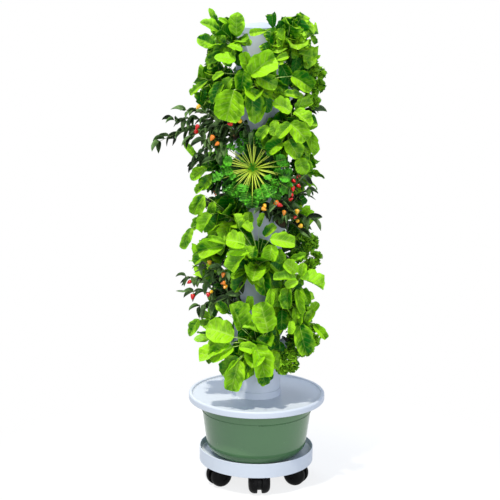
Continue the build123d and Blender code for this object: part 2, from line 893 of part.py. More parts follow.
def on_stem(bend, tip, share):
    """Middle and radius of a stem from the crown, at a share of its length."""
    rings = (*stem_taper, (1, 0))
    for (low, wide), (high, slim) in zip(rings, rings[1:]):
        if share <= high:
            part = (share - low) / (high - low)
            start = bent(Vector(0, 0, 0), bend, tip, low)
            end = bent(Vector(0, 0, 0), bend, tip, high)
            return start + (end - start) * part, wide + (slim - wide) * part


def hanging_fruit(bend, tip, share, others):
    """Fruit just below a stem, where one hangs clear of the other pieces."""
    middle, radius = on_stem(bend, tip, share)
    for drop in fruit_drops:
        top = middle - Vector(0, 0, drop * radius + seat_gap)
        low = top - Vector(0, 0, fruit_length)
        fruit = spindle(top, (top + low) / 2, low, fruit_profile)
        shared = [fruit & other for other in others]
        if not any(piece and piece.solids() for piece in shared):
            return [fruit]
    return []


def make_chili(phase, way, long_branch):
    """Branching pepper with narrow leaves, and its hanging fruit as solids of their own."""
    crown = Vector(0, 0, 0)
    stems = []
    for number in range(pepper_branches):
        aim = direction_of(pepper_first_lean + pepper_lean_step * number, phase + way * number * pepper_turn)
        stems.append((aim, pepper_share * reach(aim), True))
    if long_branch:
        stems.append((long_branch_aim.normalized(), pepper_long_reach, False))
    pieces = []
    lines = []
    for aim, length, kept_inside in stems:
        tip = aim * length
        bend = tip / 2 + Vector(0, 0, pepper_arch * length)
        lines.append((bend, tip))
        pieces.append(spindle(crown, bend, tip, stem_taper))
        for node, (share, _) in enumerate(stem_taper[1:]):
            base = bent(crown, bend, tip, share)
            for side in (0, 1):
                around = phase + way * (node * pepper_leaf_turn + side * pepper_leaf_pair)
                leaf_aim = (direction_of(pepper_leaf_lean, around) + aim * pepper_leaf_forward).normalized()
                leaf_tip = base + leaf_aim * pepper_leaf_length
                if kept_inside:
                    leaf_tip = leaf_tip * min(1, reach(leaf_tip.normalized()) / leaf_tip.length)
                arch = (base + leaf_tip) / 2 + growth * pepper_leaf_arch
                pieces.append(leaf(base, arch, leaf_tip, pepper_leaf_half_width, narrow))
    plant = make_stalk() + pieces
    fruits = []
    for bend, tip in lines:
        ripe = []
        for share in fruit_shares:
            if len(ripe) < fruits_per_branch:
                ripe += hanging_fruit(bend, tip, share, [plant, *fruits, *ripe])
        fruits += ripe
    return plant, fruits


def grow(kind, variant, long_branch):
    """One plant of a kind, in one of two growth habits, with any fruit."""
    phase = variant * row_phase
    way = 1 - 2 * variant
    if kind == "chili":
        return make_chili(phase, way, long_branch)
    if kind == "parsley":
        return make_parsley(phase, way), []
    return make_rosette(kind, phase, way), []


def main():
    os.makedirs("parts", exist_ok=True)
    make_casters()
    save("dolly_tray", make_dolly())
    save("reservoir_tub", make_tub())
    save("reservoir_lid", make_lid())
    save("port_cover", make_port_cover())
    save("port_pivot", make_port_pivot())
    save("cord_outlet", make_cord_outlet())
    save("column_collar", make_collar())
    save("base_tube", Pos(0, 0, collar_top) * make_tube(base_tube_height))
    section = make_section()
    cup = make_cup()
    plug = make_plug()
    cups = []
    plugs = []
    grown = {}
    nodes = {"chili_fruits": []}
    for row in range(section_count):
        turn = Rot(0, 0, (row % 2) * 180 / ports_per_section)
        save(f"grow_section_{row + 1}", Pos(0, 0, sections_bottom + row * section_pitch) * turn * section)
    for row, number, angle in ports():
        level = sections_bottom + row * section_pitch
        mouth = Pos(0, 0, level) * pod_place(angle) * Pos(0, 0, pod_length)
        cups.append(mouth * cup)
        plugs.append(mouth * plug)
        crown = outward(angle, crown_distance, level + crown_height)
        kind = planting[row % len(planting)][number % len(planting[0])]
        habit = (kind, (row + number) % 2, (row, number) == long_branch_port)
        if habit not in grown:
            grown[habit] = grow(*habit)
        plant, fruits = grown[habit]
        nodes.setdefault(kind + "_plants", []).append(crown * plant)
        nodes["chili_fruits"] += [crown * fruit for fruit in fruits]
    save("net_cups", *cups)
    save("grow_plugs", *plugs)
    for node, shapes in nodes.items():
        save(node, *shapes)
    save("distributor", make_distributor())
    save("top_cap", make_cap())
    save("pump_housing", make_pump_housing())
    save("pump_strainer", make_strainer())
    save("pump_impeller", make_impeller())
    save("pump_shaft", lying_bar(shaft_radius, -impeller_width / 2, chamber_back + shaft_seat))
    save("pump_feet", *make_pump_feet())
    save("riser_adapter", make_adapter())
    save("riser_pipe", make_riser())


if __name__ == "__main__":
    main()
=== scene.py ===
import json
import math
from collections import namedtuple

import bpy
import numpy as np
from mathutils import Matrix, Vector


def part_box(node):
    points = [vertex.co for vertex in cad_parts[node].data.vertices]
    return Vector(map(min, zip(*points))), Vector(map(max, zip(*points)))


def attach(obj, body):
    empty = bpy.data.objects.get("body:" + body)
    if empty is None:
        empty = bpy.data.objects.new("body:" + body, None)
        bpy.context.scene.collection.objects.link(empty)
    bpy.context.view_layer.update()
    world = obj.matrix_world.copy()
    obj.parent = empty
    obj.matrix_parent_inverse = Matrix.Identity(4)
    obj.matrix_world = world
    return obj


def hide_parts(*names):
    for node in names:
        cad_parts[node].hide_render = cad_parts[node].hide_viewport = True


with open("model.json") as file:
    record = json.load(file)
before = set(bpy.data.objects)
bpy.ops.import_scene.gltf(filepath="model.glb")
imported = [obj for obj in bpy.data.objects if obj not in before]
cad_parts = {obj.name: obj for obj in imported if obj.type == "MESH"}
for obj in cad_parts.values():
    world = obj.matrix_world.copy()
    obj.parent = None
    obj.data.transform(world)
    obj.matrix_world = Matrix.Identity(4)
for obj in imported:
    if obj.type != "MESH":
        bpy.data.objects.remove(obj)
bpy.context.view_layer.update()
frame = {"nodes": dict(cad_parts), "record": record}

scene = bpy.context.scene

# Hydroponic tower: the CAD pieces keep their shapes and get finishes, and the plants are grown leaf by leaf.
# Metres, +Z up, the front is towards -Y.

# Camera that stands where the photograph was taken
camera_place = (-0.034, -5.0, 1.9651)
camera_pitch = 0.191
camera_roll = -0.009
camera_lens = 87.54

# Planting: the crown of each plant, seen from its own pod, and the space that its solid fills
crown_distance = 0.1372
crown_height = 0.1382
pod_tilt = math.radians(45)
sections = 8
ports = 4
golden_angle = math.radians(137.5)
space_offset = 0.050
space_radius = 0.1122
least_outward = 0.22
row_phase = math.radians(41)
widest_reach = 0.262
highest_tip = 2.015
cap_level = 1.865
behind_cap = (7, 2)
crown_depth = 0.0125
crown_rise = 0.002
crown_radii = (0.0085, 0.0075)
row_seeds = 100

# In all that follows a spread is the most that chance adds either way, a stray is the size of a random turn,
# leans are in degrees, and a pair of leans or sizes is the least one and what the largest adds to it

# Blades: thickness, random twist, fold along the rib, waves and notches of the edge, veins, rib and stalk
leaf_thickness = 0.0008
leaf_twist = 0.5
leaf_fold = (0.2, 0.85)
leaf_notch = 0.05
cup_spread = 0.12
blade_base = 0.03
vein_slant = 1.3
small_wave = 0.5
small_wave_number = 2.3
rib_step = 3
rib_end = 0.25
rib_sink = 0.7
leaf_bow = 0.006
pucker_rise = 3
stalk_points = 5

# Parsley: clumps of frills on short stems
parsley_clumps = 12
parsley_leans = (8, 92)
parsley_turn_spread = 0.3
parsley_length = 0.105
parsley_spread = 0.015
parsley_reach = 0.235
parsley_drop = 0.07
parsley_bend = (0.05, 0.02)
parsley_points = 8
parsley_radii = (0.0026, 0.0014)
parsley_frills = 34
frill_roots = (0.004, 0.014)
frill_outward = 0.7
frill_scale = (0.8, 1.2)

# Tatsoi: a flat burst of stalks around a heart, young leaves on it and broader leaves behind it
burst_tilt = math.radians(20)
burst_heart = np.array((0.042, -0.026, 0.044))
heart_radii = (0.008, 0.010)
heart_bend = 0.03
heart_points = 6
burst_leaves = 54
burst_leans = (62, 34)
burst_lean_spread = 5
burst_turn_spread = 0.15
burst_sizes = (0.74, 0.24)
burst_size_spread = 0.13
burst_lift = 0.022
burst_upward = 0.6
burst_stray = 0.5
burst_young = 9
burst_young_leans = (10, 60)
burst_young_length = 0.034
burst_young_sizes = (0.7, 0.3)
burst_young_width = 0.24
burst_young_stray = 0.4
burst_young_tones = (1.0, 1.4)
burst_backing = 26
backing_depth = 0.5
backing_root = 0.015
backing_length = 0.11
backing_spread = 0.03
backing_bow = 0.01
backing_width = 1.1
backing_stray = 0.4
backing_tones = (0, 0.4)

# Peppers: branches, the leaves that hang on them and the fruits
branch_pitch = 0.017
branch_length = 0.15
branch_leans = (20, 75)
branch_bend = 0.45
branch_rise = 0.22
branch_radii = (0.0032, 0.0010)
branches_each = 7
fewest_knots = 6
first_knot = 2
hanging_outward = (0.3, 0.5)
hanging_aside = 0.9
hanging_drop = -0.5
hanging_drop_spread = 0.6
hanging_along = 0.5
hanging_size = 0.9
hanging_size_spread = 0.25
hanging_facing = np.array((0.5, 0, 0.8))
hanging_stray = 0.6
hanging_bow = 0.010
fruits_each = 8
fruit_length = 0.024
fruit_radius = 0.0085
fruit_scale = (0.85, 1.15)
fruit_aim = np.array((0.35, 0, -0.5))
fruit_stray = 0.45
fruit_points = 11
fruit_shoulder = 5
fruit_taper = 2.6
fruit_end = 0.05
fruit_stalk_points = 6
fruit_stalk_radii = (0.0010, 0.0016)
fruit_drop = 0.020
fruit_aside = 0.012
fruit_seeds = 7000

# Places of the leaf's and the stem's material in each plant, and the tone of plain stems
skin_slot = 0
stem_slot = 1
stem_tint = 0.5

# Shared: sides of thin and thick stems, where stalks bend, a way that no stem follows, a nudge off the axis,
# room beside the column, angle of sharp edges
stem_sides = 6
round_sides = 10
stalk_bend = 0.55
odd_way = (0.31, 0.52, 0.11)
off_axis = 0.01
off_column = 0.02
sharp_angle = math.radians(60)

# The photograph's frame, for leaves that are placed where it shows them
picture_size = 500
sensor_width = 36.0
foliage_front = 0.2

# Planting plan from the lowest row up, rows and pods counted from 0; even rows start at the front, odd ones
# at 45 degrees towards +X
planting = (
    ("pak_choi", "parsley", "lettuce", "basil"),
    ("pak_choi", "basil", "lettuce", "chili"),
    ("pak_choi", "parsley", "tatsoi", "lettuce"),
    ("chili", "pak_choi", "chili", "pak_choi"),
    ("tatsoi", "basil", "pak_choi", "basil"),
    ("pak_choi", "chili", "basil", "chili"),
    ("pak_choi", "parsley", "tatsoi", "lettuce"),
    ("lettuce", "basil", "parsley", "basil"),
)

# What stands out in the photograph, by row and number of the pod, placed by pixels and by the distance out in
# front of the column's axis. Leaves: base and tip of the blade, half width in pixels, tone, dark to bright;
# the tone is partly the leaf's own colour and partly painted light and shade.
Leaf = namedtuple("Leaf", "base tip half_width out tone")
shown_leaves = {
    (7, 3): (
        Leaf((217, 24), (209, 8), 3.6, 0.13, 0.30),
        Leaf((219, 31), (200, 22), 7.0, 0.15, 0.42),
        Leaf((237, 37), (238, 12), 8.6, 0.17, 0.85),
        Leaf((229, 24), (218, 18), 2.5, 0.16, 0.98),
        Leaf((215, 46), (197, 38), 7.2, 0.16, 0.33),
        Leaf((243, 50), (227, 46), 7.0, 0.21, 0.90),
        Leaf((236, 60), (214, 57), 7.8, 0.22, 0.80),
        Leaf((224, 44), (212, 33), 6.0, 0.14, 0.35),
        Leaf((222, 52), (205, 62), 5.5, 0.15, 0.30),
    ),
    (7, 0): (
        Leaf((273, 28), (272, 14), 5.4, 0.14, 0.28),
        Leaf((267, 31), (249, 33), 3.8, 0.18, 0.98),
        Leaf((272, 45), (270, 28), 7.0, 0.17, 0.80),
        Leaf((279, 51), (283, 28), 4.6, 0.18, 0.85),
        Leaf((268, 55), (264, 43), 6.0, 0.17, 0.35),
        Leaf((294, 51), (308, 42), 6.4, 0.14, 0.38),
        Leaf((310, 33), (316, 44), 3.0, 0.08, 0.35),
        Leaf((298, 48), (294, 72), 6.0, 0.14, 0.22),
        Leaf((276, 60), (288, 56), 4.0, 0.20, 0.88),
        Leaf((291, 42), (304, 31), 7.0, 0.13, 0.70),
        Leaf((287, 33), (284, 17), 6.0, 0.11, 0.72),
        Leaf((298, 30), (305, 15), 7.0, 0.09, 0.62),
    ),
    (6, 0): (
        Leaf((250, 75), (275, 57), 11.5, 0.25, 0.76),
        Leaf((244, 71), (241, 90), 8.8, 0.24, 0.26),
        Leaf((257, 77), (277, 87), 8.2, 0.24, 0.30),
        Leaf((234, 90), (226, 121), 15.0, 0.25, 0.78),
        Leaf((252, 88), (252, 117), 9.8, 0.24, 0.30),
        Leaf((264, 92), (268, 113), 6.0, 0.22, 0.25),
        Leaf((224, 73), (213, 80), 3.4, 0.24, 0.98),
        Leaf((222, 82), (213, 104), 6.0, 0.22, 0.22),
        Leaf((232, 78), (222, 92), 6.0, 0.23, 0.28),
        Leaf((292, 76), (312, 89), 9.0, 0.19, 0.10),
        Leaf((281, 64), (292, 84), 7.0, 0.17, 0.08),
        Leaf((251, 74), (243, 52), 6.0, 0.20, 0.78),
    ),
    (6, 3): (
        Leaf((208, 80), (190, 95), 4.0, 0.10, 0.45),
        Leaf((204, 88), (202, 102), 4.0, 0.10, 0.05),
    ),
    (5, 0): (
        Leaf((291, 112), (273, 102), 8.4, 0.23, 0.84),
        Leaf((303, 97), (283, 94), 4.8, 0.20, 0.52),
        Leaf((295, 109), (313, 102), 6.2, 0.18, 0.70),
        Leaf((294, 112), (310, 127), 8.4, 0.21, 0.74),
        Leaf((290, 123), (307, 140), 9.4, 0.23, 0.80),
        Leaf((291, 124), (278, 138), 6.4, 0.24, 0.72),
        Leaf((268, 126), (258, 138), 5.4, 0.24, 0.55),
        Leaf((276, 120), (273, 136), 5.0, 0.23, 0.66),
        Leaf((309, 131), (314, 156), 6.0, 0.17, 0.70),
        Leaf((288, 140), (299, 158), 9.2, 0.21, 0.32),
        Leaf((282, 142), (268, 152), 7.4, 0.21, 0.10),
    ),
    (4, 1): (
        Leaf((299, 158), (305, 175), 7.4, 0.18, 0.80),
        Leaf((304, 160), (311, 172), 5.0, 0.14, 0.30),
        Leaf((296, 150), (309, 164), 6.4, 0.14, 0.24),
    ),
    (4, 3): (
        Leaf((198, 160), (183, 142), 3.6, 0.11, 0.42),
        Leaf((207, 168), (191, 180), 7.2, 0.13, 0.45),
        Leaf((203, 185), (196, 194), 5.0, 0.12, 0.38),
        Leaf((212, 175), (200, 190), 6.0, 0.12, 0.25),
    ),
    (3, 3): (
        Leaf((204, 195), (192, 214), 6.6, 0.15, 0.48),
        Leaf((204, 200), (198, 215), 4.0, 0.17, 0.75),
        Leaf((214, 202), (210, 215), 4.6, 0.17, 0.58),
        Leaf((211, 214), (202, 233), 7.0, 0.18, 0.82),
        Leaf((192, 228), (182, 249), 5.0, 0.14, 0.52),
        Leaf((224, 246), (198, 252), 9.4, 0.19, 0.45),
        Leaf((226, 244), (207, 239), 3.8, 0.20, 0.76),
        Leaf((205, 216), (193, 230), 6.0, 0.12, 0.30),
        Leaf((218, 208), (216, 228), 6.4, 0.15, 0.30),
        Leaf((208, 255), (194, 264), 6.0, 0.14, 0.40),
    ),
    (2, 0): (
        Leaf((245, 244), (226, 240), 9.8, 0.245, 0.86),
        Leaf((250, 252), (229, 250), 6.4, 0.245, 0.74),
        Leaf((270, 239), (295, 244), 8.2, 0.25, 0.90),
        Leaf((272, 245), (269, 260), 8.0, 0.245, 0.90),
        Leaf((247, 253), (231, 271), 9.6, 0.25, 0.74),
        Leaf((239, 228), (234, 214), 5.6, 0.23, 0.66),
        Leaf((249, 225), (248, 212), 5.4, 0.22, 0.55),
        Leaf((259, 227), (264, 213), 3.6, 0.22, 0.72),
        Leaf((252, 231), (243, 224), 5.4, 0.24, 0.78),
        Leaf((254, 246), (253, 258), 6.0, 0.23, 0.40),
        Leaf((264, 236), (276, 226), 5.0, 0.21, 0.30),
        Leaf((274, 250), (283, 262), 6.0, 0.22, 0.32),
    ),
    (2, 1): (
        Leaf((306, 254), (291, 260), 3.6, 0.14, 0.82),
    ),
    (1, 0): (
        Leaf((262, 286), (251, 275), 6.4, 0.22, 0.52),
        Leaf((282, 275), (270, 264), 6.8, 0.21, 0.38),
        Leaf((297, 272), (284, 262), 7.0, 0.22, 0.82),
        Leaf((301, 276), (304, 263), 5.0, 0.21, 0.86),
        Leaf((296, 279), (273, 279), 5.6, 0.23, 0.50),
        Leaf((298, 281), (285, 286), 4.6, 0.24, 0.86),
        Leaf((300, 278), (323, 290), 9.8, 0.21, 0.80),
        Leaf((271, 288), (270, 307), 4.6, 0.24, 0.76),
        Leaf((278, 288), (278, 307), 6.0, 0.22, 0.26),
        Leaf((288, 288), (288, 309), 7.0, 0.23, 0.44),
        Leaf((297, 289), (302, 314), 4.4, 0.23, 0.76),
        Leaf((303, 289), (309, 304), 5.6, 0.20, 0.26),
        Leaf((309, 314), (319, 303), 5.0, 0.17, 0.55),
        Leaf((306, 322), (314, 311), 4.6, 0.18, 0.44),
        Leaf((299, 324), (306, 354), 10.6, 0.21, 0.30),
        Leaf((314, 325), (326, 339), 4.6, 0.17, 0.66),
        Leaf((291, 321), (290, 334), 4.0, 0.23, 0.76),
        Leaf((294, 308), (298, 326), 5.6, 0.20, 0.42),
        Leaf((282, 310), (281, 330), 7.0, 0.19, 0.20),
    ),
    (0, 0): (
        Leaf((242, 329), (231, 304), 11.5, 0.22, 0.42),
        Leaf((227, 313), (217, 302), 5.4, 0.20, 0.18),
        Leaf((248, 311), (250, 296), 4.2, 0.21, 0.86),
        Leaf((268, 332), (260, 302), 12.0, 0.23, 0.80),
        Leaf((264, 334), (242, 328), 7.6, 0.235, 0.54),
        Leaf((234, 337), (206, 328), 13.0, 0.235, 0.80),
        Leaf((230, 343), (199, 360), 10.5, 0.24, 0.68),
        Leaf((233, 347), (210, 359), 9.0, 0.245, 0.45),
        Leaf((239, 347), (256, 350), 6.0, 0.245, 0.92),
        Leaf((254, 346), (265, 377), 11.2, 0.235, 0.85),
        Leaf((239, 358), (222, 375), 7.8, 0.24, 0.22),
        Leaf((239, 360), (231, 391), 10.2, 0.245, 0.52),
        Leaf((247, 357), (247, 379), 7.2, 0.235, 0.38),
        Leaf((260, 370), (266, 385), 6.4, 0.23, 0.20),
        Leaf((276, 329), (281, 349), 8.6, 0.20, 0.10),
        Leaf((257, 338), (272, 350), 8.0, 0.22, 0.18),
    ),
    (0, 3): (
        Leaf((211, 317), (197, 312), 4.2, 0.13, 0.28),
        Leaf((199, 319), (189, 336), 6.2, 0.12, 0.50),
        Leaf((212, 325), (198, 323), 5.0, 0.14, 0.26),
    ),
}

# Pepper branches: where each one ends
Spot = namedtuple("Spot", "pixel out")
shown_branches = {
    (5, 3): (
        Spot((160, 141), 0.10), Spot((174, 120), 0.12), Spot((186, 110), 0.13), Spot((192, 136), 0.16),
        Spot((200, 154), 0.16), Spot((206, 112), 0.15), Spot((214, 160), 0.18), Spot((222, 126), 0.20),
        Spot((246, 124), 0.21), Spot((254, 132), 0.20), Spot((228, 112), 0.20), Spot((205, 140), 0.17),
        Spot((224, 148), 0.19), Spot((196, 164), 0.15),
    ),
    (3, 0): (
        Spot((302, 174), 0.17), Spot((306, 190), 0.17), Spot((312, 219), 0.16), Spot((289, 184), 0.20),
        Spot((275, 200), 0.23), Spot((262, 210), 0.22), Spot((300, 230), 0.17), Spot((288, 216), 0.21),
        Spot((250, 204), 0.21),
    ),
    (1, 3): (
        Spot((186, 276), 0.13), Spot((189, 292), 0.14), Spot((200, 306), 0.15), Spot((214, 304), 0.18),
        Spot((243, 294), 0.20), Spot((201, 262), 0.14), Spot((222, 268), 0.20), Spot((229, 298), 0.20),
    ),
}

# Parsley clumps: the middle of each one
shown_clumps = {
    (0, 1): (
        Spot((280, 353), 0.15), Spot((289, 350), 0.14), Spot((294, 356), 0.14), Spot((292, 365), 0.16),
        Spot((283, 367), 0.17), Spot((278, 361), 0.17), Spot((286, 359), 0.18),
    ),
}

# Peppers: the middle of each one, and its ripeness from yellow to red
Fruit = namedtuple("Fruit", "spot out ripeness")
shown_fruits = {
    (5, 3): (
        Fruit((197, 127), 0.18, 0.95), Fruit((196, 131), 0.18, 0.85), Fruit((232, 121), 0.23, 0.10),
        Fruit((236, 119), 0.23, 0.05), Fruit((239, 121), 0.23, 0.12), Fruit((230, 124), 0.23, 0.60),
        Fruit((198, 107), 0.16, 0.15), Fruit((212, 138), 0.20, 0.28), Fruit((217, 144), 0.20, 0.35),
    ),
    (3, 0): (
        Fruit((298, 177), 0.20, 0.95), Fruit((294, 181), 0.21, 0.90), Fruit((299, 186), 0.20, 0.80),
        Fruit((293, 189), 0.21, 0.95), Fruit((292, 195), 0.21, 0.90), Fruit((291, 199), 0.21, 0.85),
        Fruit((276, 203), 0.25, 0.40), Fruit((280, 205), 0.25, 0.90), Fruit((265, 206), 0.25, 0.10),
        Fruit((264, 209), 0.25, 0.20), Fruit((284, 213), 0.23, 0.25), Fruit((297, 212), 0.20, 0.12),
        Fruit((295, 217), 0.20, 0.50), Fruit((298, 221), 0.20, 0.10), Fruit((300, 226), 0.19, 0.05),
    ),
    (1, 3): (
        Fruit((208, 295), 0.19, 0.95), Fruit((211, 292), 0.19, 0.12), Fruit((223, 275), 0.22, 0.30),
        Fruit((225, 287), 0.22, 0.22), Fruit((209, 262), 0.17, 0.08), Fruit((223, 283), 0.22, 0.35),
    ),
}

# Leaf forms: length from crown to tip, bare share of it, half width, how the blade swells and tapers,
# cupping, edge waves and their number, puckering, side veins, stalk radius, points across and along the blade
Form = namedtuple("Form", "length stalk half_width swell taper cup wave waves pucker veins stem across along")
forms = {
    "pak_choi": Form(0.178, 0.36, 0.050, 0.50, 0.42, 0.16, 0.14, 2.5, 0.10, 7, 0.0030, 9, 18),
    "lettuce": Form(0.150, 0.14, 0.048, 0.75, 0.30, 0.12, 0.22, 4.0, 0.10, 7, 0.0035, 9, 24),
    "basil": Form(0.140, 0.42, 0.037, 0.62, 0.62, -0.20, 0.10, 2.0, 0.13, 6, 0.0020, 9, 16),
    "tatsoi": Form(0.165, 0.66, 0.029, 0.55, 0.45, -0.15, 0.18, 3.0, 0.16, 5, 0.0023, 9, 16),
    "chili": Form(0.060, 0.16, 0.0130, 0.70, 0.95, 0.20, 0.06, 1.0, 0.00, 5, 0.0008, 5, 8),
    "parsley": Form(0.024, 0.10, 0.010, 0.50, 0.30, 0.20, 0.55, 3.0, 0.10, 3, 0.0006, 5, 7),
}

# Main leaves, as the solids have them: number, first and last lean, share of the reach, half width
Rosette = namedtuple("Rosette", "leaves first last share half_width")
rosettes = {
    "pak_choi": Rosette(9, 24, 95, 0.97, 0.043),
    "lettuce": Rosette(9, 20, 95, 0.95, 0.046),
    "basil": Rosette(10, 18, 95, 0.93, 0.034),
}
rosette_lift = 0.45
rosette_stray = 0.12

# Smaller leaves between the main ones; their leans are the first one's and the last one's
between_leaves = 20
between_leans = (16, 112)
between_pace = 0.8
between_lean_spread = 7
between_turn_spread = 0.25
between_scale = 0.74
between_sizes = (0.62, 0.38)
between_rise = 1.6
between_size_spread = 0.13
between_droop = 0.25
between_bend = (0.5, 0.62)
between_open = 0.55
between_stray = 0.25

# Tones of plants that the photograph doesn't show, and of leaves behind those that it shows, which are kept
# darker as painted shade
open_tones = (0.0, 1.0)
hidden_tones = (0.0, 0.45)

# Young leaves at the heart
young_leaves = 7
young_leans = (6, 30)
young_scale = 0.36
young_size_spread = 0.2
young_width = 0.8
young_base = 0.3
young_bend = 0.6
young_stray = 0.2
young_tones = (0.6, 1)

# Leaves placed by the photograph: points of the blade, arch, depth of the tip, facing and stalk
shown_across = 11
shown_along = 18
shown_arch = (0.10, 0.26)
shown_spread = 0.015
shown_upward = 0.45
shown_stray = 0.22
shown_stalk_bend = 0.45
shown_stalk_points = 7


def unit(vector):
    """Vector of length 1."""
    return vector / np.linalg.norm(vector)


growth = np.array((math.cos(pod_tilt), 0.0, math.sin(pod_tilt)))
up_wall = np.array((-math.sin(pod_tilt), 0.0, math.cos(pod_tilt)))
sideways = np.array((0.0, 1.0, 0.0))
upwards = np.array((0.0, 0.0, 1.0))
crown = np.zeros(3)
crown_ends = np.stack((growth * -crown_depth, growth * crown_rise))
burst_axis = np.array((math.cos(burst_tilt), 0, math.sin(burst_tilt)))
burst_rise = np.array((-math.sin(burst_tilt), 0, math.cos(burst_tilt)))

tilt = Matrix.Rotation(math.pi / 2 - camera_pitch, 4, "X")
roll = Matrix.Rotation(-camera_roll, 4, "Z")
view_turn = np.array((tilt @ roll).to_3x3())
pixel_focus = camera_lens / sensor_width * picture_size
metres_per_pixel = (abs(camera_place[1]) - foliage_front) / pixel_focus


def seen_at(pixel, out, turn, shift):
    """Place in a crown's own frame that shows at a pixel, at a distance in front of the column's axis."""
    half = picture_size / 2
    ray = view_turn @ np.array(((pixel[0] - half) / pixel_focus, (half - pixel[1]) / pixel_focus, -1))
    spot = np.array(camera_place) + ray * (-out - camera_place[1]) / ray[1]
    return (spot - shift) @ turn


class Plant:
    """Vertices, faces and leaf marks of one plant, gathered in its crown's own frame."""

    def __init__(self, seed):
        self.random = np.random.default_rng(seed)
        self.points = []
        self.marks = []
        self.faces = []
        self.slots = []
        self.size = 0

    def vary(self, spread):
        """Random value up to a spread, either way."""
        return self.random.uniform(-spread, spread)

    def stray(self, size=1):
        """Random vector, each part of it about as large as a size."""
        return size * self.random.normal(size=3)

    def add(self, points, marks, faces, slot):
        """Take in a closed shape; marks give the side, the run and the tint at each point."""
        self.points.append(points)
        self.marks.append(marks)
        self.faces += [[corner + self.size for corner in face] for face in faces]
        self.slots += [slot] * len(faces)
        self.size += len(points)


def bent(start, bend, end, steps):
    """Points along a simple bend."""
    share = np.linspace(0, 1, steps)[:, None]
    return start * (1 - share) ** 2 + bend * 2 * share * (1 - share) + end * share**2


def arched(start, end, lift, steps):
    """Points along an arch that is lifted in its middle."""
    return bent(start, (start + end) / 2 + lift, end, steps)


def ways(points):
    """Unit directions along points."""
    along = np.gradient(points, axis=0)
    return along / np.linalg.norm(along, axis=1)[:, None]


def tube(plant, points, radii, slot, tint, sides=stem_sides):
    """Closed tube along points."""
    along = ways(points)
    across = np.cross(along, odd_way)
    across /= np.linalg.norm(across, axis=1)[:, None]
    other = np.cross(along, across)
    turn = np.linspace(0, 2 * math.pi, sides, endpoint=False)
    ring = across[:, None] * np.cos(turn)[None, :, None] + other[:, None] * np.sin(turn)[None, :, None]
    shell = points[:, None] + ring * np.asarray(radii)[:, None, None]
    rows = len(points)
    low = np.arange(rows - 1)[:, None] * sides
    side = np.arange(sides)
    after = (side + 1) % sides
    walls = np.stack((low + side, low + sides + side, low + sides + after, low + after), axis=-1)
    faces = walls.reshape(-1, 4).tolist()
    faces.append(list(range(sides)))
    faces.append(list(range(rows * sides - 1, (rows - 1) * sides - 1, -1)))
    marks = np.zeros((rows * sides, 3))
    marks[:, 1] = np.repeat(np.linspace(0, 1, rows), sides)
    marks[:, 2] = tint
    plant.add(shell.reshape(-1, 3), marks, faces, slot)


def stem_tube(plant, points, radii, tint=stem_tint, sides=stem_sides):
    """Evenly tapered tube in the stem's material."""
    tube(plant, points, np.linspace(*radii, len(points)), stem_slot, tint, sides)


def leaf(plant, form, blade, facing, half_width, tint, stalk=None):
    """Thin closed blade along points, its upper face towards facing, on a stalk that runs on as its rib."""
    rows = len(blade)
    share = np.linspace(0, 1, rows)
    along = ways(blade)
    beside = unit(np.cross(blade[-1] - blade[0], facing))
    across = np.cross(along, facing + plant.vary(leaf_twist) * share[:, None] * beside)
    across /= np.linalg.norm(across, axis=1)[:, None]
    upper = np.cross(across, along)
    if stalk is not None:
        rib = np.concatenate((stalk[:-1], blade[: rows - 2 : rib_step]))
        radii = np.linspace(1, rib_end, len(rib)) * form.stem * half_width / form.half_width
        under = np.concatenate((np.zeros((len(stalk) - 1, 3)), upper[: rows - 2 : rib_step]))
        tube(plant, rib - under * radii[:, None] * rib_sink, radii, stem_slot, tint)
    peak = form.swell / (form.swell + form.taper)
    top = peak**form.swell * (1 - peak) ** form.taper
    outline = share**form.swell * (1 - share) ** form.taper / top
    width = half_width * (blade_base + (1 - blade_base) * outline)
    side, run = np.meshgrid(np.linspace(-1, 1, form.across), share)
    reach = np.abs(side)
    phase = np.where(side > 0, plant.random.uniform(0, 2 * math.pi), plant.random.uniform(0, 2 * math.pi))
    wave = np.sin(2 * math.pi * form.waves * run + phase)
    wave += small_wave * np.sin(2 * math.pi * small_wave_number * form.waves * run + 2 * phase)
    quilt = np.cos(2 * math.pi * (form.veins * run - vein_slant * reach))
    cup = form.cup + plant.vary(cup_spread)
    fold = plant.random.uniform(*leaf_fold)
    lift = fold * reach + cup * reach**2 + form.wave * wave * reach**2
    lift -= form.pucker * quilt * reach * (1 - reach) * pucker_rise
    lift *= width[:, None]
    spread = side * width[:, None] * (1 + leaf_notch * wave)
    shape = blade[:, None] + across[:, None] * spread[..., None] + upper[:, None] * lift[..., None]
    back = shape - upper[:, None] * leaf_thickness
    marks = np.stack((side, run, np.full_like(reach, tint)), axis=-1).reshape(-1, 3)
    count = rows * form.across
    low = (np.arange(rows - 1)[:, None] * form.across + np.arange(form.across - 1)).ravel()
    front = np.stack((low, low + 1, low + form.across + 1, low + form.across), axis=1)
    left = np.arange(rows) * form.across
    end = np.arange(1, form.across) + left[-1]
    right = left[-2::-1] + form.across - 1
    start = np.arange(form.across - 2, 0, -1)
    rim = np.concatenate((left, end, right, start))
    after = np.roll(rim, -1)
    edge = np.stack((rim, after, after + count, rim + count), axis=1)
    faces = np.concatenate((front, front[:, ::-1] + count, edge)).tolist()
    points = np.concatenate((shape.reshape(-1, 3), back.reshape(-1, 3)))
    plant.add(points, np.concatenate((marks, marks)), faces, skin_slot)


def direction(lean, around, axis=growth, rise=up_wall):
    """Unit direction at a lean from an axis."""
    side = rise * math.cos(around) + sideways * math.sin(around)
    return axis * math.cos(lean) + side * math.sin(lean)


def grown(pair, share):
    """First of a pair, and a share of the second on top."""
    return pair[0] + pair[1] * share


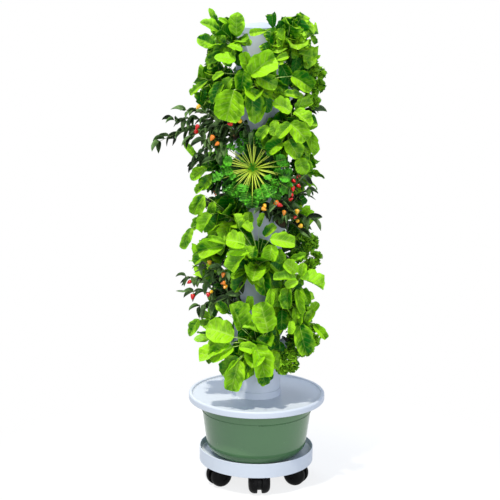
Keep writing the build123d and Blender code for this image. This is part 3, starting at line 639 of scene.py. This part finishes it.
def inside(tip, level, reach=widest_reach):
    """Tip drawn in to the tower's own width and height, and kept off the column."""
    tip = tip.copy()
    tip[0] = max(tip[0], off_column)
    out = math.hypot(crown_distance + tip[0], tip[1])
    if out > reach:
        centre = np.array((-crown_distance, 0))
        tip[:2] = centre + (tip[:2] - centre) * reach / out
    tip[2] = min(tip[2], highest_tip - level)
    return tip


def stalked_leaf(plant, form, start, bend, tip, facing, half_width, tint):
    """Leaf on its own stalk from a start, along a bend."""
    spine = bent(start, bend, tip, 2 * form.along)
    first = int(form.stalk * len(spine))
    rows = np.linspace(first, len(spine) - 1, form.along)
    blade = np.stack([np.interp(rows, np.arange(len(spine)), spine[:, axis]) for axis in range(3)], axis=1)
    stalk = spine[np.linspace(0, first, stalk_points).astype(int)]
    leaf(plant, form, blade, facing, half_width, tint, stalk)


def grow_rosette(plant, kind, variant, tones):
    """Main leaves where the solids have them, each out to the edge of the plant's own space."""
    form = forms[kind]
    habit = rosettes[kind]
    for number in range(habit.leaves):
        lean = math.radians(habit.first + (habit.last - habit.first) * number / (habit.leaves - 1))
        aim = direction(lean, variant * row_phase + (1 - 2 * variant) * number * golden_angle)
        aim = unit(np.array((max(aim[0], least_outward), aim[1], aim[2])))
        ahead = aim[0] * space_offset
        length = habit.share * (ahead + math.sqrt(ahead**2 + space_radius**2 - space_offset**2))
        bend = unit(aim + growth * rosette_lift) * stalk_bend * length
        facing = unit(growth + plant.stray(rosette_stray))
        tint = plant.random.uniform(*tones)
        stalked_leaf(plant, form, crown, bend, aim * length, facing, habit.half_width, tint)


def grow_between(plant, kind, level, tones):
    """Smaller leaves between the main ones, the outer ones drooping."""
    form = forms[kind]
    spin = plant.random.uniform(0, 2 * math.pi)
    for number in range(between_leaves):
        share = (number + 0.5) / between_leaves
        degrees = np.interp(share**between_pace, (0, 1), between_leans) + plant.vary(between_lean_spread)
        lean = math.radians(degrees)
        aim = direction(lean, spin + number * golden_angle + plant.vary(between_turn_spread))
        size = between_scale * grown(between_sizes, min(1.0, between_rise * share))
        size *= 1 + plant.vary(between_size_spread)
        length = form.length * size
        tip = aim * length
        tip[2] -= between_droop * length * math.sin(lean) ** 2
        bend = (aim * between_bend[0] + growth * between_bend[1]) * stalk_bend * length
        radial = unit(aim - growth * (aim @ growth))
        facing = unit(growth + between_open * radial * math.sin(lean) + plant.stray(between_stray))
        tint = plant.random.uniform(*tones)
        stalked_leaf(plant, form, crown, bend, inside(tip, level), facing, form.half_width * size, tint)


def grow_burst(plant, level):
    """Flat rosette of thin pale stalks that end in crinkled spoons, over broader leaves behind it."""
    form = forms["tatsoi"]
    heart_stem = bent(crown, growth * heart_bend, burst_heart, heart_points)
    stem_tube(plant, heart_stem, heart_radii, sides=round_sides)
    for number in range(burst_leaves):
        share = (number + 0.5) / burst_leaves
        lean = math.radians(grown(burst_leans, share) + plant.vary(burst_lean_spread))
        around = number * golden_angle + plant.vary(burst_turn_spread)
        aim = direction(lean, around, burst_axis, burst_rise)
        size = grown(burst_sizes, share) + plant.vary(burst_size_spread)
        tip = inside(burst_heart + aim * form.length * size, level)
        bend = burst_heart + (tip - burst_heart) * stalk_bend + burst_axis * burst_lift
        facing = unit(burst_axis + burst_upward * burst_rise + plant.stray(burst_stray))
        tint = plant.random.uniform()
        stalked_leaf(plant, form, burst_heart, bend, tip, facing, form.half_width * size, tint)
    for number in range(burst_young):
        lean = math.radians(grown(burst_young_leans, number / burst_young))
        aim = direction(lean, number * golden_angle, burst_axis, burst_rise)
        tip = burst_heart + aim * burst_young_length * grown(burst_young_sizes, plant.random.uniform())
        facing = unit(burst_axis + burst_rise + plant.stray(burst_young_stray))
        blade = arched(burst_heart, tip, burst_axis * leaf_bow, form.along)
        tint = plant.random.uniform(*burst_young_tones)
        leaf(plant, form, blade, facing, form.half_width * burst_young_width, tint)
    for number in range(burst_backing):
        around = number * golden_angle
        out = burst_rise * math.cos(around) + sideways * math.sin(around)
        root = burst_heart * backing_depth + out * backing_root
        tip = inside(root + out * (backing_length + plant.vary(backing_spread)), level)
        facing = unit(burst_axis + plant.stray(backing_stray))
        blade = arched(root, tip, burst_axis * backing_bow, form.along)
        tint = plant.random.uniform(*backing_tones)
        leaf(plant, form, blade, facing, form.half_width * backing_width, tint)


def grow_young(plant, kind):
    """Small upright leaves at the heart of a plant."""
    form = forms[kind]
    half_width = form.half_width * young_scale * young_width
    for number in range(young_leaves):
        aim = direction(math.radians(grown(young_leans, number / young_leaves)), number * golden_angle)
        tip = aim * form.length * young_scale * (1 + plant.vary(young_size_spread))
        base = tip * young_base
        inward = np.cross(aim, np.cross(growth + off_axis * sideways, aim))
        facing = unit(inward + plant.stray(young_stray))
        blade = bent(base, tip * young_bend + facing * leaf_bow, tip, form.along)
        tint = plant.random.uniform(*young_tones)
        leaf(plant, form, blade, facing, half_width, tint, np.stack((crown, base)))


def grow_shown(plant, kind, shown, turn, shift):
    """Leaf that the photograph shows, from its crown to the pixels of its base and tip."""
    form = forms[kind]._replace(across=shown_across, along=shown_along)
    base = seen_at(shown.base, shown.out, turn, shift)
    tip = seen_at(shown.tip, shown.out + plant.vary(shown_spread), turn, shift)
    to_camera = unit(np.array(camera_place) - shift)
    facing = unit(to_camera + shown_upward * upwards + plant.stray(shown_stray)) @ turn
    length = np.linalg.norm(tip - base)
    arch = plant.random.uniform(*shown_arch)
    blade = arched(base, tip, facing * arch * length, form.along)
    stalk = bent(crown, growth * shown_stalk_bend * np.linalg.norm(base), base, shown_stalk_points)
    leaf(plant, form, blade, facing, shown.half_width * metres_per_pixel, shown.tone, stalk)


def grow_parsley(plant, level, highest, shown):
    """Curly clumps at the ends of short stems."""
    form = forms["parsley"]
    middles = list(shown)
    for number in range(parsley_clumps):
        lean = math.radians(grown(parsley_leans, (number + 0.5) / parsley_clumps))
        aim = direction(lean, number * golden_angle + plant.vary(parsley_turn_spread))
        middle = inside(aim * (parsley_length + plant.vary(parsley_spread)), level, parsley_reach)
        middle[2] = min(middle[2], highest - level - plant.random.uniform(0, parsley_drop))
        middles.append(middle)
    for middle in middles:
        aim = unit(middle)
        stem = bent(crown, aim * parsley_bend[0] + growth * parsley_bend[1], middle, parsley_points)
        stem_tube(plant, stem, parsley_radii)
        for frill in range(parsley_frills):
            out = unit(plant.stray() + frill_outward * aim)
            root = middle + out * plant.random.uniform(*frill_roots)
            tip = root + out * form.length * plant.random.uniform(*frill_scale)
            facing = unit(np.cross(out, plant.stray()))
            blade = arched(root, tip, facing * leaf_bow, form.along)
            leaf(plant, form, blade, facing, form.half_width, plant.random.uniform())


def grow_chili(plant, ends):
    """Branching pepper with narrow drooping leaves; gives the places along its branches."""
    form = forms["chili"]
    places = []
    for end in ends:
        length = np.linalg.norm(end)
        count = max(fewest_knots, int(length / branch_pitch))
        stem = bent(crown, end * branch_bend + branch_rise * length * upwards, end, count)
        along = ways(stem)
        stem_tube(plant, stem, branch_radii, plant.random.uniform())
        for knot in range(first_knot, count):
            places.append(stem[knot])
            for twin in range(1 + knot % 2):
                turn = plant.random.uniform(0, 2 * math.pi)
                drop = hanging_drop + plant.vary(hanging_drop_spread)
                out = np.array((grown(hanging_outward, math.cos(turn)), hanging_aside * math.sin(turn), drop))
                out = unit(out + hanging_along * along[knot])
                size = hanging_size + plant.vary(hanging_size_spread)
                tip = stem[knot] + out * form.length * size
                facing = unit(hanging_facing + plant.stray(hanging_stray))
                blade = arched(stem[knot], tip, hanging_bow * upwards, form.along)
                leaf(plant, form, blade, facing, form.half_width * size, plant.random.uniform() ** 2)
    return np.array(places)


def grow_fruit(plant, root, spot, ripeness):
    """Small pointed pepper that hangs at a spot on a stalk from its branch."""
    size = plant.random.uniform(*fruit_scale)
    aim = unit(fruit_aim + plant.stray(fruit_stray))
    top = spot - aim * fruit_length * size / 2
    stem_tube(plant, arched(root, top, leaf_bow * upwards, fruit_stalk_points), fruit_stalk_radii)
    share = np.linspace(0, 1, fruit_points)
    body = np.clip(share * fruit_shoulder, 0, 1) ** 0.5 * (1 - share**fruit_taper)
    radius = fruit_radius * size * (body + fruit_end)
    tube(plant, top + share[:, None] * aim * fruit_length * size, radius, skin_slot, ripeness, round_sides)


def place(angle, level):
    """Turn and shift from a crown's own frame, X outwards and Z up, to the tower's."""
    x_axis = np.array((math.sin(angle), -math.cos(angle), 0))
    y_axis = np.array((math.cos(angle), math.sin(angle), 0))
    return np.stack((x_axis, y_axis, upwards), axis=1), x_axis * crown_distance + level * upwards


def build(plant, name, turn, shift, materials, stands_for):
    """Mesh piece on the tower that stands for a CAD node."""
    points = np.concatenate(plant.points) @ turn.T + shift
    mesh = bpy.data.meshes.new(name)
    mesh.from_pydata(points.tolist(), [], plant.faces)
    marks = mesh.attributes.new("leaf", "FLOAT_VECTOR", "POINT")
    marks.data.foreach_set("vector", np.concatenate(plant.marks).astype(np.float32).ravel())
    for material in materials:
        mesh.materials.append(material)
    mesh.polygons.foreach_set("material_index", plant.slots)
    mesh.polygons.foreach_set("use_smooth", [True] * len(plant.faces))
    mesh.set_sharp_from_angle(angle=sharp_angle)
    piece = bpy.data.objects.new(name, mesh)
    scene.collection.objects.link(piece)
    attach(piece, "tower")
    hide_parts(stands_for)


# Materials


def material_nodes(name):
    """New material with its node tree, its shader and its output."""
    material = bpy.data.materials.new(name)
    material.use_nodes = True
    tree = material.node_tree
    return material, tree, tree.nodes["Principled BSDF"], tree.nodes["Material Output"]


def feed(tree, made, sources):
    """Give each named input of a node a socket or a value."""
    for name, source in sources.items():
        if isinstance(source, bpy.types.NodeSocket):
            tree.links.new(source, made.inputs[name])
        else:
            made.inputs[name].default_value = source


def node(tree, kind, sources=None, **settings):
    """Outputs of a new shader node with these inputs and settings."""
    made = tree.nodes.new("ShaderNode" + kind)
    for name, value in settings.items():
        setattr(made, name, value)
    feed(tree, made, sources or {})
    return made.outputs


def maths(tree, operation, one, two=0.0, three=0.0):
    """Value from an arithmetic operation."""
    return node(tree, "Math", {0: one, 1: two, 2: three}, operation=operation)[0]


def ramp(tree, value, low, high, first=0.0, last=1.0):
    """Smooth step of a value between two limits."""
    links = {"Value": value, "From Min": low, "From Max": high, "To Min": first, "To Max": last}
    return node(tree, "MapRange", links, interpolation_type="SMOOTHSTEP")[0]


def mixed(tree, share, one, two):
    """Colour between two others."""
    return node(tree, "Mix", {0: share, 6: one, 7: two}, data_type="RGBA")[2]


def noise(tree, scale, detail=3.0, rough=0.55):
    """Cloudy value of 0 to 1 that stays with the piece."""
    where = node(tree, "TexCoord")["Object"]
    links = {"Vector": where, "Scale": scale, "Detail": detail, "Roughness": rough}
    return node(tree, "TexNoise", links)["Fac"]


def bump(tree, height, strength, distance):
    """Normal of a surface that follows a height."""
    links = {"Strength": strength, "Distance": distance, "Height": height}
    return node(tree, "Bump", links)[0]


def leaf_marks(tree):
    """Side, run and tint at a point of a plant."""
    mark = node(tree, "Attribute", attribute_name="leaf")["Vector"]
    return node(tree, "SeparateXYZ", {0: mark})


def srgb(red, green, blue):
    """Linear colour from picture values of 0 to 255."""
    linear = [((v / 255 + 0.055) / 1.055) ** 2.4 if v > 10 else v / 255 / 12.92 for v in (red, green, blue)]
    return (*linear, 1.0)


def leaf_material(name, look):
    """Leaf with a pale rib, side veins, mottling and some light through it; painted light makes it paler
    where it faces up, and painted shade makes it darker towards the column.
    """
    material, tree, shader, output = material_nodes(name)
    light = srgb(*look.light)
    marks = leaf_marks(tree)
    across = maths(tree, "ABSOLUTE", marks[0])
    rib = ramp(tree, across, 0.02, 0.10, 1.0, 0.0)
    slant = maths(tree, "MULTIPLY_ADD", across, -vein_slant, maths(tree, "MULTIPLY", marks[1], look.veins))
    from_vein = maths(tree, "ABSOLUTE", maths(tree, "SUBTRACT", maths(tree, "FRACT", slant), 0.5))
    side = ramp(tree, from_vein, 0.03, 0.16, 1.0, 0.0)
    inner = ramp(tree, across, 0.5, 1.0, 0.8, 0.1)
    lines = maths(tree, "MAXIMUM", rib, maths(tree, "MULTIPLY", side, inner))
    fine = noise(tree, 140.0, 4.0)
    broad = noise(tree, 22.0, 2.0)
    normal = node(tree, "NewGeometry")["Normal"]
    upward = node(tree, "SeparateXYZ", {0: normal})[2]
    # Painted light: the leaf turns paler and yellower where its surface faces up
    painted_upward_light = ramp(tree, upward, 0.0, 0.8, -0.16, 0.60)
    patches = ramp(tree, broad, 0.34, 0.66, -0.26, 0.26)
    # Painted shade: leaves grow darker towards the column's axis, where the inner leaves lie in shade
    where = node(tree, "TexCoord")["Object"]
    flat = node(tree, "VectorMath", {0: where, 1: (1, 1, 0)}, operation="MULTIPLY")[0]
    from_axis = node(tree, "VectorMath", {0: flat}, operation="LENGTH")["Value"]
    painted_inner_shade = ramp(tree, from_axis, 0.13, 0.25, -0.50, 0.12)
    margin = ramp(tree, across, 0.55, 1.0, -0.08, 0.26)
    places = maths(tree, "ADD", maths(tree, "ADD", painted_inner_shade, margin), maths(tree, "ADD", painted_upward_light, patches))
    tone = maths(tree, "MULTIPLY_ADD", marks[2], 0.82, places)
    tone = maths(tree, "MULTIPLY_ADD", maths(tree, "SUBTRACT", fine, 0.5), 0.4, tone)
    body = mixed(tree, tone, srgb(*look.dark), light)
    clear = maths(tree, "MULTIPLY", lines, ramp(tree, tone, 0.0, 1.0, 0.16, 0.6))
    colour = mixed(tree, clear, body, srgb(*look.vein))
    rough = ramp(tree, fine, 0.3, 0.7, look.gloss - 0.08, look.gloss + 0.12)
    height = maths(tree, "MULTIPLY_ADD", fine, look.crinkle, maths(tree, "MULTIPLY", lines, -0.6))
    relief = bump(tree, height, 0.8, 0.0030)
    looks = {"Base Color": colour, "Roughness": rough, "Specular IOR Level": 0.22, "Normal": relief}
    feed(tree, shader, looks)
    through = node(tree, "BsdfTranslucent", {"Color": mixed(tree, 0.35, colour, light)})
    both = node(tree, "MixShader", {0: 0.26, 1: shader.outputs[0], 2: through[0]})
    feed(tree, output, {"Surface": both[0]})
    return material


def stem_material(name, foot, end):
    """Juicy stalk that changes colour along its length, with a finely uneven skin."""
    material, tree, shader, _ = material_nodes(name)
    fine = noise(tree, 260.0)
    share = maths(tree, "MULTIPLY_ADD", maths(tree, "SUBTRACT", fine, 0.5), 0.6, leaf_marks(tree)[1])
    colour = mixed(tree, share, srgb(*foot), srgb(*end))
    feed(tree, shader, {"Base Color": colour, "Roughness": 0.4, "Normal": bump(tree, fine, 0.3, 0.001)})
    return material


def fruit_material():
    """Shiny pepper skin from yellow over orange to red, by ripeness."""
    material, tree, shader, _ = material_nodes("fruit_skin")
    ripe = leaf_marks(tree)[2]
    spots = noise(tree, 160.0)
    yellow = mixed(tree, spots, srgb(250, 205, 60), srgb(240, 170, 30))
    orange = mixed(tree, ramp(tree, ripe, 0.12, 0.3), yellow, srgb(238, 130, 34))
    red = mixed(tree, spots, srgb(196, 4, 10), srgb(222, 18, 16))
    colour = mixed(tree, ramp(tree, ripe, 0.35, 0.5), orange, red)
    relief = bump(tree, spots, 0.15, 0.001)
    feed(tree, shader, {"Base Color": colour, "Roughness": 0.22, "Coat Weight": 0.12, "Normal": relief})
    return material


def plastic(name, base, shade, gloss, depth=0.15, scuff=0.25, shine=0.5):
    """Moulded plastic with fine grain, faint colour drift and scuffs."""
    material, tree, shader, _ = material_nodes(name)
    drift = noise(tree, 5.0, 3.0)
    fine = noise(tree, 900.0, 2.0)
    rub = ramp(tree, noise(tree, 45.0, 6.0, 0.7), 0.52, 0.75)
    share = maths(tree, "MULTIPLY_ADD", rub, scuff, maths(tree, "MULTIPLY", drift, 0.5))
    colour = mixed(tree, share, srgb(*base), srgb(*shade))
    rough = maths(tree, "MULTIPLY_ADD", rub, 0.18, gloss)
    relief = bump(tree, fine, depth, 0.0004)
    looks = {"Base Color": colour, "Roughness": rough, "Specular IOR Level": shine, "Normal": relief}
    feed(tree, shader, looks)
    return material


def metal(name):
    """Steel with a finely uneven sheen."""
    material, tree, shader, _ = material_nodes(name)
    fine = noise(tree, 700.0)
    colour = mixed(tree, fine, srgb(150, 152, 156), srgb(196, 198, 200))
    rough = ramp(tree, fine, 0.3, 0.7, 0.25, 0.42)
    feed(tree, shader, {"Base Color": colour, "Metallic": 1.0, "Roughness": rough})
    return material


def fibre(name):
    """Brown growing plug of pressed fibres."""
    material, tree, shader, _ = material_nodes(name)
    strands = noise(tree, 320.0, 6.0, 0.75)
    clumps = noise(tree, 60.0, 3.0)
    body = mixed(tree, strands, srgb(46, 32, 22), srgb(124, 92, 60))
    mossy = mixed(tree, maths(tree, "MULTIPLY", clumps, 0.5), body, srgb(74, 84, 40))
    feed(tree, shader, {"Base Color": mossy, "Roughness": 0.95, "Normal": bump(tree, strands, 0.9, 0.003)})
    return material


white = plastic("white_plastic_finish", (210, 215, 224), (202, 207, 217), 0.42, depth=0.06, scuff=0.1)
sage = plastic("sage_plastic_finish", (92, 130, 88), (80, 118, 77), 0.16, depth=0.05, scuff=0.1)
# Top cap: a slightly darker, bluer copy of the white plastic, as painted shade that keeps its lit top off
# pure white
shaded_cap_white = plastic("shaded_cap_finish", (204, 213, 228), (196, 205, 220), 0.42, depth=0.06, scuff=0.1)
black = plastic("black_plastic_finish", (10, 10, 11), (20, 20, 21), 0.5, scuff=0.5, shine=0.15)
finishes = {
    "white_plastic": white,
    "sage_plastic": sage,
    "caster_black": black,
    "wheel_black": plastic("wheel_finish", (5, 5, 6), (14, 14, 15), 0.5, scuff=0.6, shine=0.1),
    "steel": metal("steel_finish"),
    "bush_rubber": plastic("rubber_finish", (24, 24, 24), (44, 44, 44), 0.7),
    "cup_black": plastic("cup_finish", (22, 23, 24), (40, 41, 42), 0.45),
    "growing_plug": fibre("plug_finish"),
    "pump_black": plastic("pump_finish", (30, 31, 34), (48, 49, 52), 0.4),
    "pipe_white": plastic("pipe_finish", (228, 230, 230), (212, 214, 214), 0.3),
}
for entry in frame["record"]["subparts"]:
    finish = shaded_cap_white if entry["node"] == "top_cap" else finishes.get(entry["material_slot"])
    if finish:
        mesh = frame["nodes"][entry["node"]].data
        mesh.materials.clear()
        mesh.materials.append(finish)

# Looks of leaves: dark, bright and vein colours, number of side veins, crinkle and roughness
Look = namedtuple("Look", "dark light vein veins crinkle gloss")
leaf_finishes = {
    "pak_choi": Look((6, 104, 0), (180, 240, 32), (206, 240, 104), 6, 0.7, 0.42),
    "lettuce": Look((8, 110, 0), (186, 242, 36), (210, 242, 110), 7, 1.0, 0.45),
    "basil": Look((4, 100, 0), (174, 240, 30), (198, 238, 96), 5, 0.9, 0.4),
    "tatsoi": Look((0, 58, 0), (110, 214, 48), (158, 222, 90), 5, 1.0, 0.42),
    "chili": Look((0, 22, 0), (116, 154, 84), (140, 168, 108), 5, 0.3, 0.38),
    "parsley": Look((0, 84, 0), (166, 228, 40), (176, 222, 80), 3, 0.6, 0.5),
}
# Colours of stems at the foot and at the end
stem_finishes = {
    "pak_choi": ((196, 220, 130), (176, 216, 84)),
    "lettuce": ((206, 224, 150), (186, 218, 100)),
    "basil": ((120, 170, 60), (150, 200, 60)),
    "tatsoi": ((190, 216, 40), (226, 234, 104)),
    "chili": ((70, 92, 44), (110, 130, 60)),
    "parsley": ((120, 168, 60), (90, 150, 44)),
}
leaf_looks = {kind: leaf_material(kind + "_leaf", look) for kind, look in leaf_finishes.items()}
stem_looks = {kind: stem_material(kind + "_stem", *ends) for kind, ends in stem_finishes.items()}
skin = fruit_material()

# Plants
for row in range(sections):
    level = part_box(f"grow_section_{row + 1}")[0].z + crown_height
    for number in range(ports):
        pod = (row, number)
        kind = planting[row][number]
        turn, shift = place(2 * math.pi * ((row % 2) / 2 + number) / ports, level)
        seed = row_seeds * row + number
        plant = Plant(seed)
        stem_tube(plant, crown_ends, crown_radii, sides=round_sides)
        here = shown_leaves.get(pod, ())
        for shown in here:
            grow_shown(plant, kind, shown, turn, shift)
        if kind == "chili":
            ends = [seen_at(*spot, turn, shift) for spot in shown_branches.get(pod, ())]
            while len(ends) < branches_each:
                lean = math.radians(grown(branch_leans, len(ends) / branches_each))
                ends.append(inside(direction(lean, len(ends) * golden_angle) * branch_length, level))
            places = grow_chili(plant, ends)
        elif kind == "parsley":
            highest = cap_level if pod == behind_cap else highest_tip
            middles = [seen_at(*spot, turn, shift) for spot in shown_clumps.get(pod, ())]
            grow_parsley(plant, level, highest, middles)
        elif kind == "tatsoi":
            grow_burst(plant, level)
        else:
            tones = hidden_tones if here else open_tones
            grow_rosette(plant, kind, (row + number) % 2, tones)
            grow_between(plant, kind, level, tones)
            grow_young(plant, kind)
        looks = (leaf_looks[kind], stem_looks[kind])
        build(plant, f"{kind}_{row + 1}_{number + 1}", turn, shift, looks, kind + "_plants")
        if kind == "chili":
            crop = Plant(fruit_seeds + seed)
            fruits = shown_fruits.get(pod, ())
            spots = [(seen_at(fruit.spot, fruit.out, turn, shift), fruit.ripeness) for fruit in fruits]
            while len(spots) < fruits_each:
                near = places[crop.random.integers(len(places))]
                beside = np.array((fruit_aside, crop.vary(fruit_aside), -fruit_drop))
                spots.append((near + beside, crop.random.uniform()))
            for spot, ripeness in spots:
                root = places[np.argmin(np.linalg.norm(places - spot, axis=1))]
                grow_fruit(crop, root, spot, ripeness)
            looks = (skin, stem_looks["chili"])
            build(crop, f"fruit_{row + 1}_{number + 1}", turn, shift, looks, "chili_fruits")

# Stage: floor, light and camera
floor_half = 12.0
floor_corners = ((-1, -1), (1, -1), (1, 1), (-1, 1))
shadow_near = 0.35
shadow_far = 1.3


def seen_directly(tree):
    """1 for rays of the camera, of gloss and through glass, and 0 for rays that light the part."""
    path = node(tree, "LightPath")
    seen = maths(tree, "MAXIMUM", path["Is Camera Ray"], path["Is Glossy Ray"])
    return maths(tree, "MAXIMUM", seen, path["Is Transmission Ray"])


def stage_material():
    """Pale floor that shows white to the camera and keeps a soft shadow."""
    material, tree, shader, output = material_nodes("floor_finish")
    feed(tree, shader, {"Base Color": (0.5, 0.5, 0.5, 1), "Roughness": 0.9})
    where = node(tree, "TexCoord")["Object"]
    away = node(tree, "VectorMath", {0: where}, operation="LENGTH")["Value"]
    share = maths(tree, "MULTIPLY", seen_directly(tree), ramp(tree, away, shadow_near, shadow_far, 0.6, 1.0))
    strength = ramp(tree, away, shadow_near, shadow_far, 1.35, 1.0)
    glow = node(tree, "Emission", {"Color": (1, 1, 1, 1), "Strength": strength})
    both = node(tree, "MixShader", {0: share, 1: shader.outputs[0], 2: glow[0]})
    feed(tree, output, {"Surface": both[0]})
    return material


floor_mesh = bpy.data.meshes.new("floor")
floor_points = [(x * floor_half, y * floor_half, 0) for x, y in floor_corners]
floor_mesh.from_pydata(floor_points, [], [(0, 1, 2, 3)])
floor_mesh.materials.append(stage_material())
floor = bpy.data.objects.new("floor", floor_mesh)
scene.collection.objects.link(floor)


def lamp(name, spot, target, power, size, colour):
    """Soft square lamp aimed at a point."""
    light = bpy.data.lights.new(name, "AREA")
    light.energy = power
    light.size = size
    light.color = colour
    made = bpy.data.objects.new(name, light)
    z_axis = unit(np.array(spot) - np.array(target))
    x_axis = unit(np.cross(upwards, z_axis))
    turn = np.stack((x_axis, np.cross(z_axis, x_axis), z_axis), axis=1)
    made.matrix_world = Matrix.Translation(spot) @ Matrix(turn.tolist()).to_4x4()
    scene.collection.objects.link(made)


lamp("key", (-5.0, -8.2, 21.4), (0, 0, 1.0), 4300, 1.0, (1.0, 0.97, 0.84))
lamp("fill", (1.4, -4.4, 1.8), (0, 0, 0.9), 78, 2.5, (0.94, 0.97, 1.0))
lamp("back", (-2.0, 3.2, 3.4), (0, 0, 1.1), 70, 2.0, (0.82, 0.90, 1.0))

world = bpy.data.worlds.new("studio")
scene.world = world
world.use_nodes = True
sky = world.node_tree
sky.nodes.clear()
shade = node(sky, "Background", {"Color": (0.58, 0.73, 1.0, 1), "Strength": 0.62})
bright = node(sky, "Background", {"Color": (1, 1, 1, 1), "Strength": 1.0})
both = node(sky, "MixShader", {0: seen_directly(sky), 1: shade[0], 2: bright[0]})
node(sky, "OutputWorld", {"Surface": both[0]})

camera = bpy.data.objects.new("camera", bpy.data.cameras.new("camera"))
camera.data.lens = camera_lens
camera.matrix_world = Matrix.Translation(camera_place) @ tilt @ roll
scene.collection.objects.link(camera)
scene.camera = camera
scene.view_settings.view_transform = "Standard"
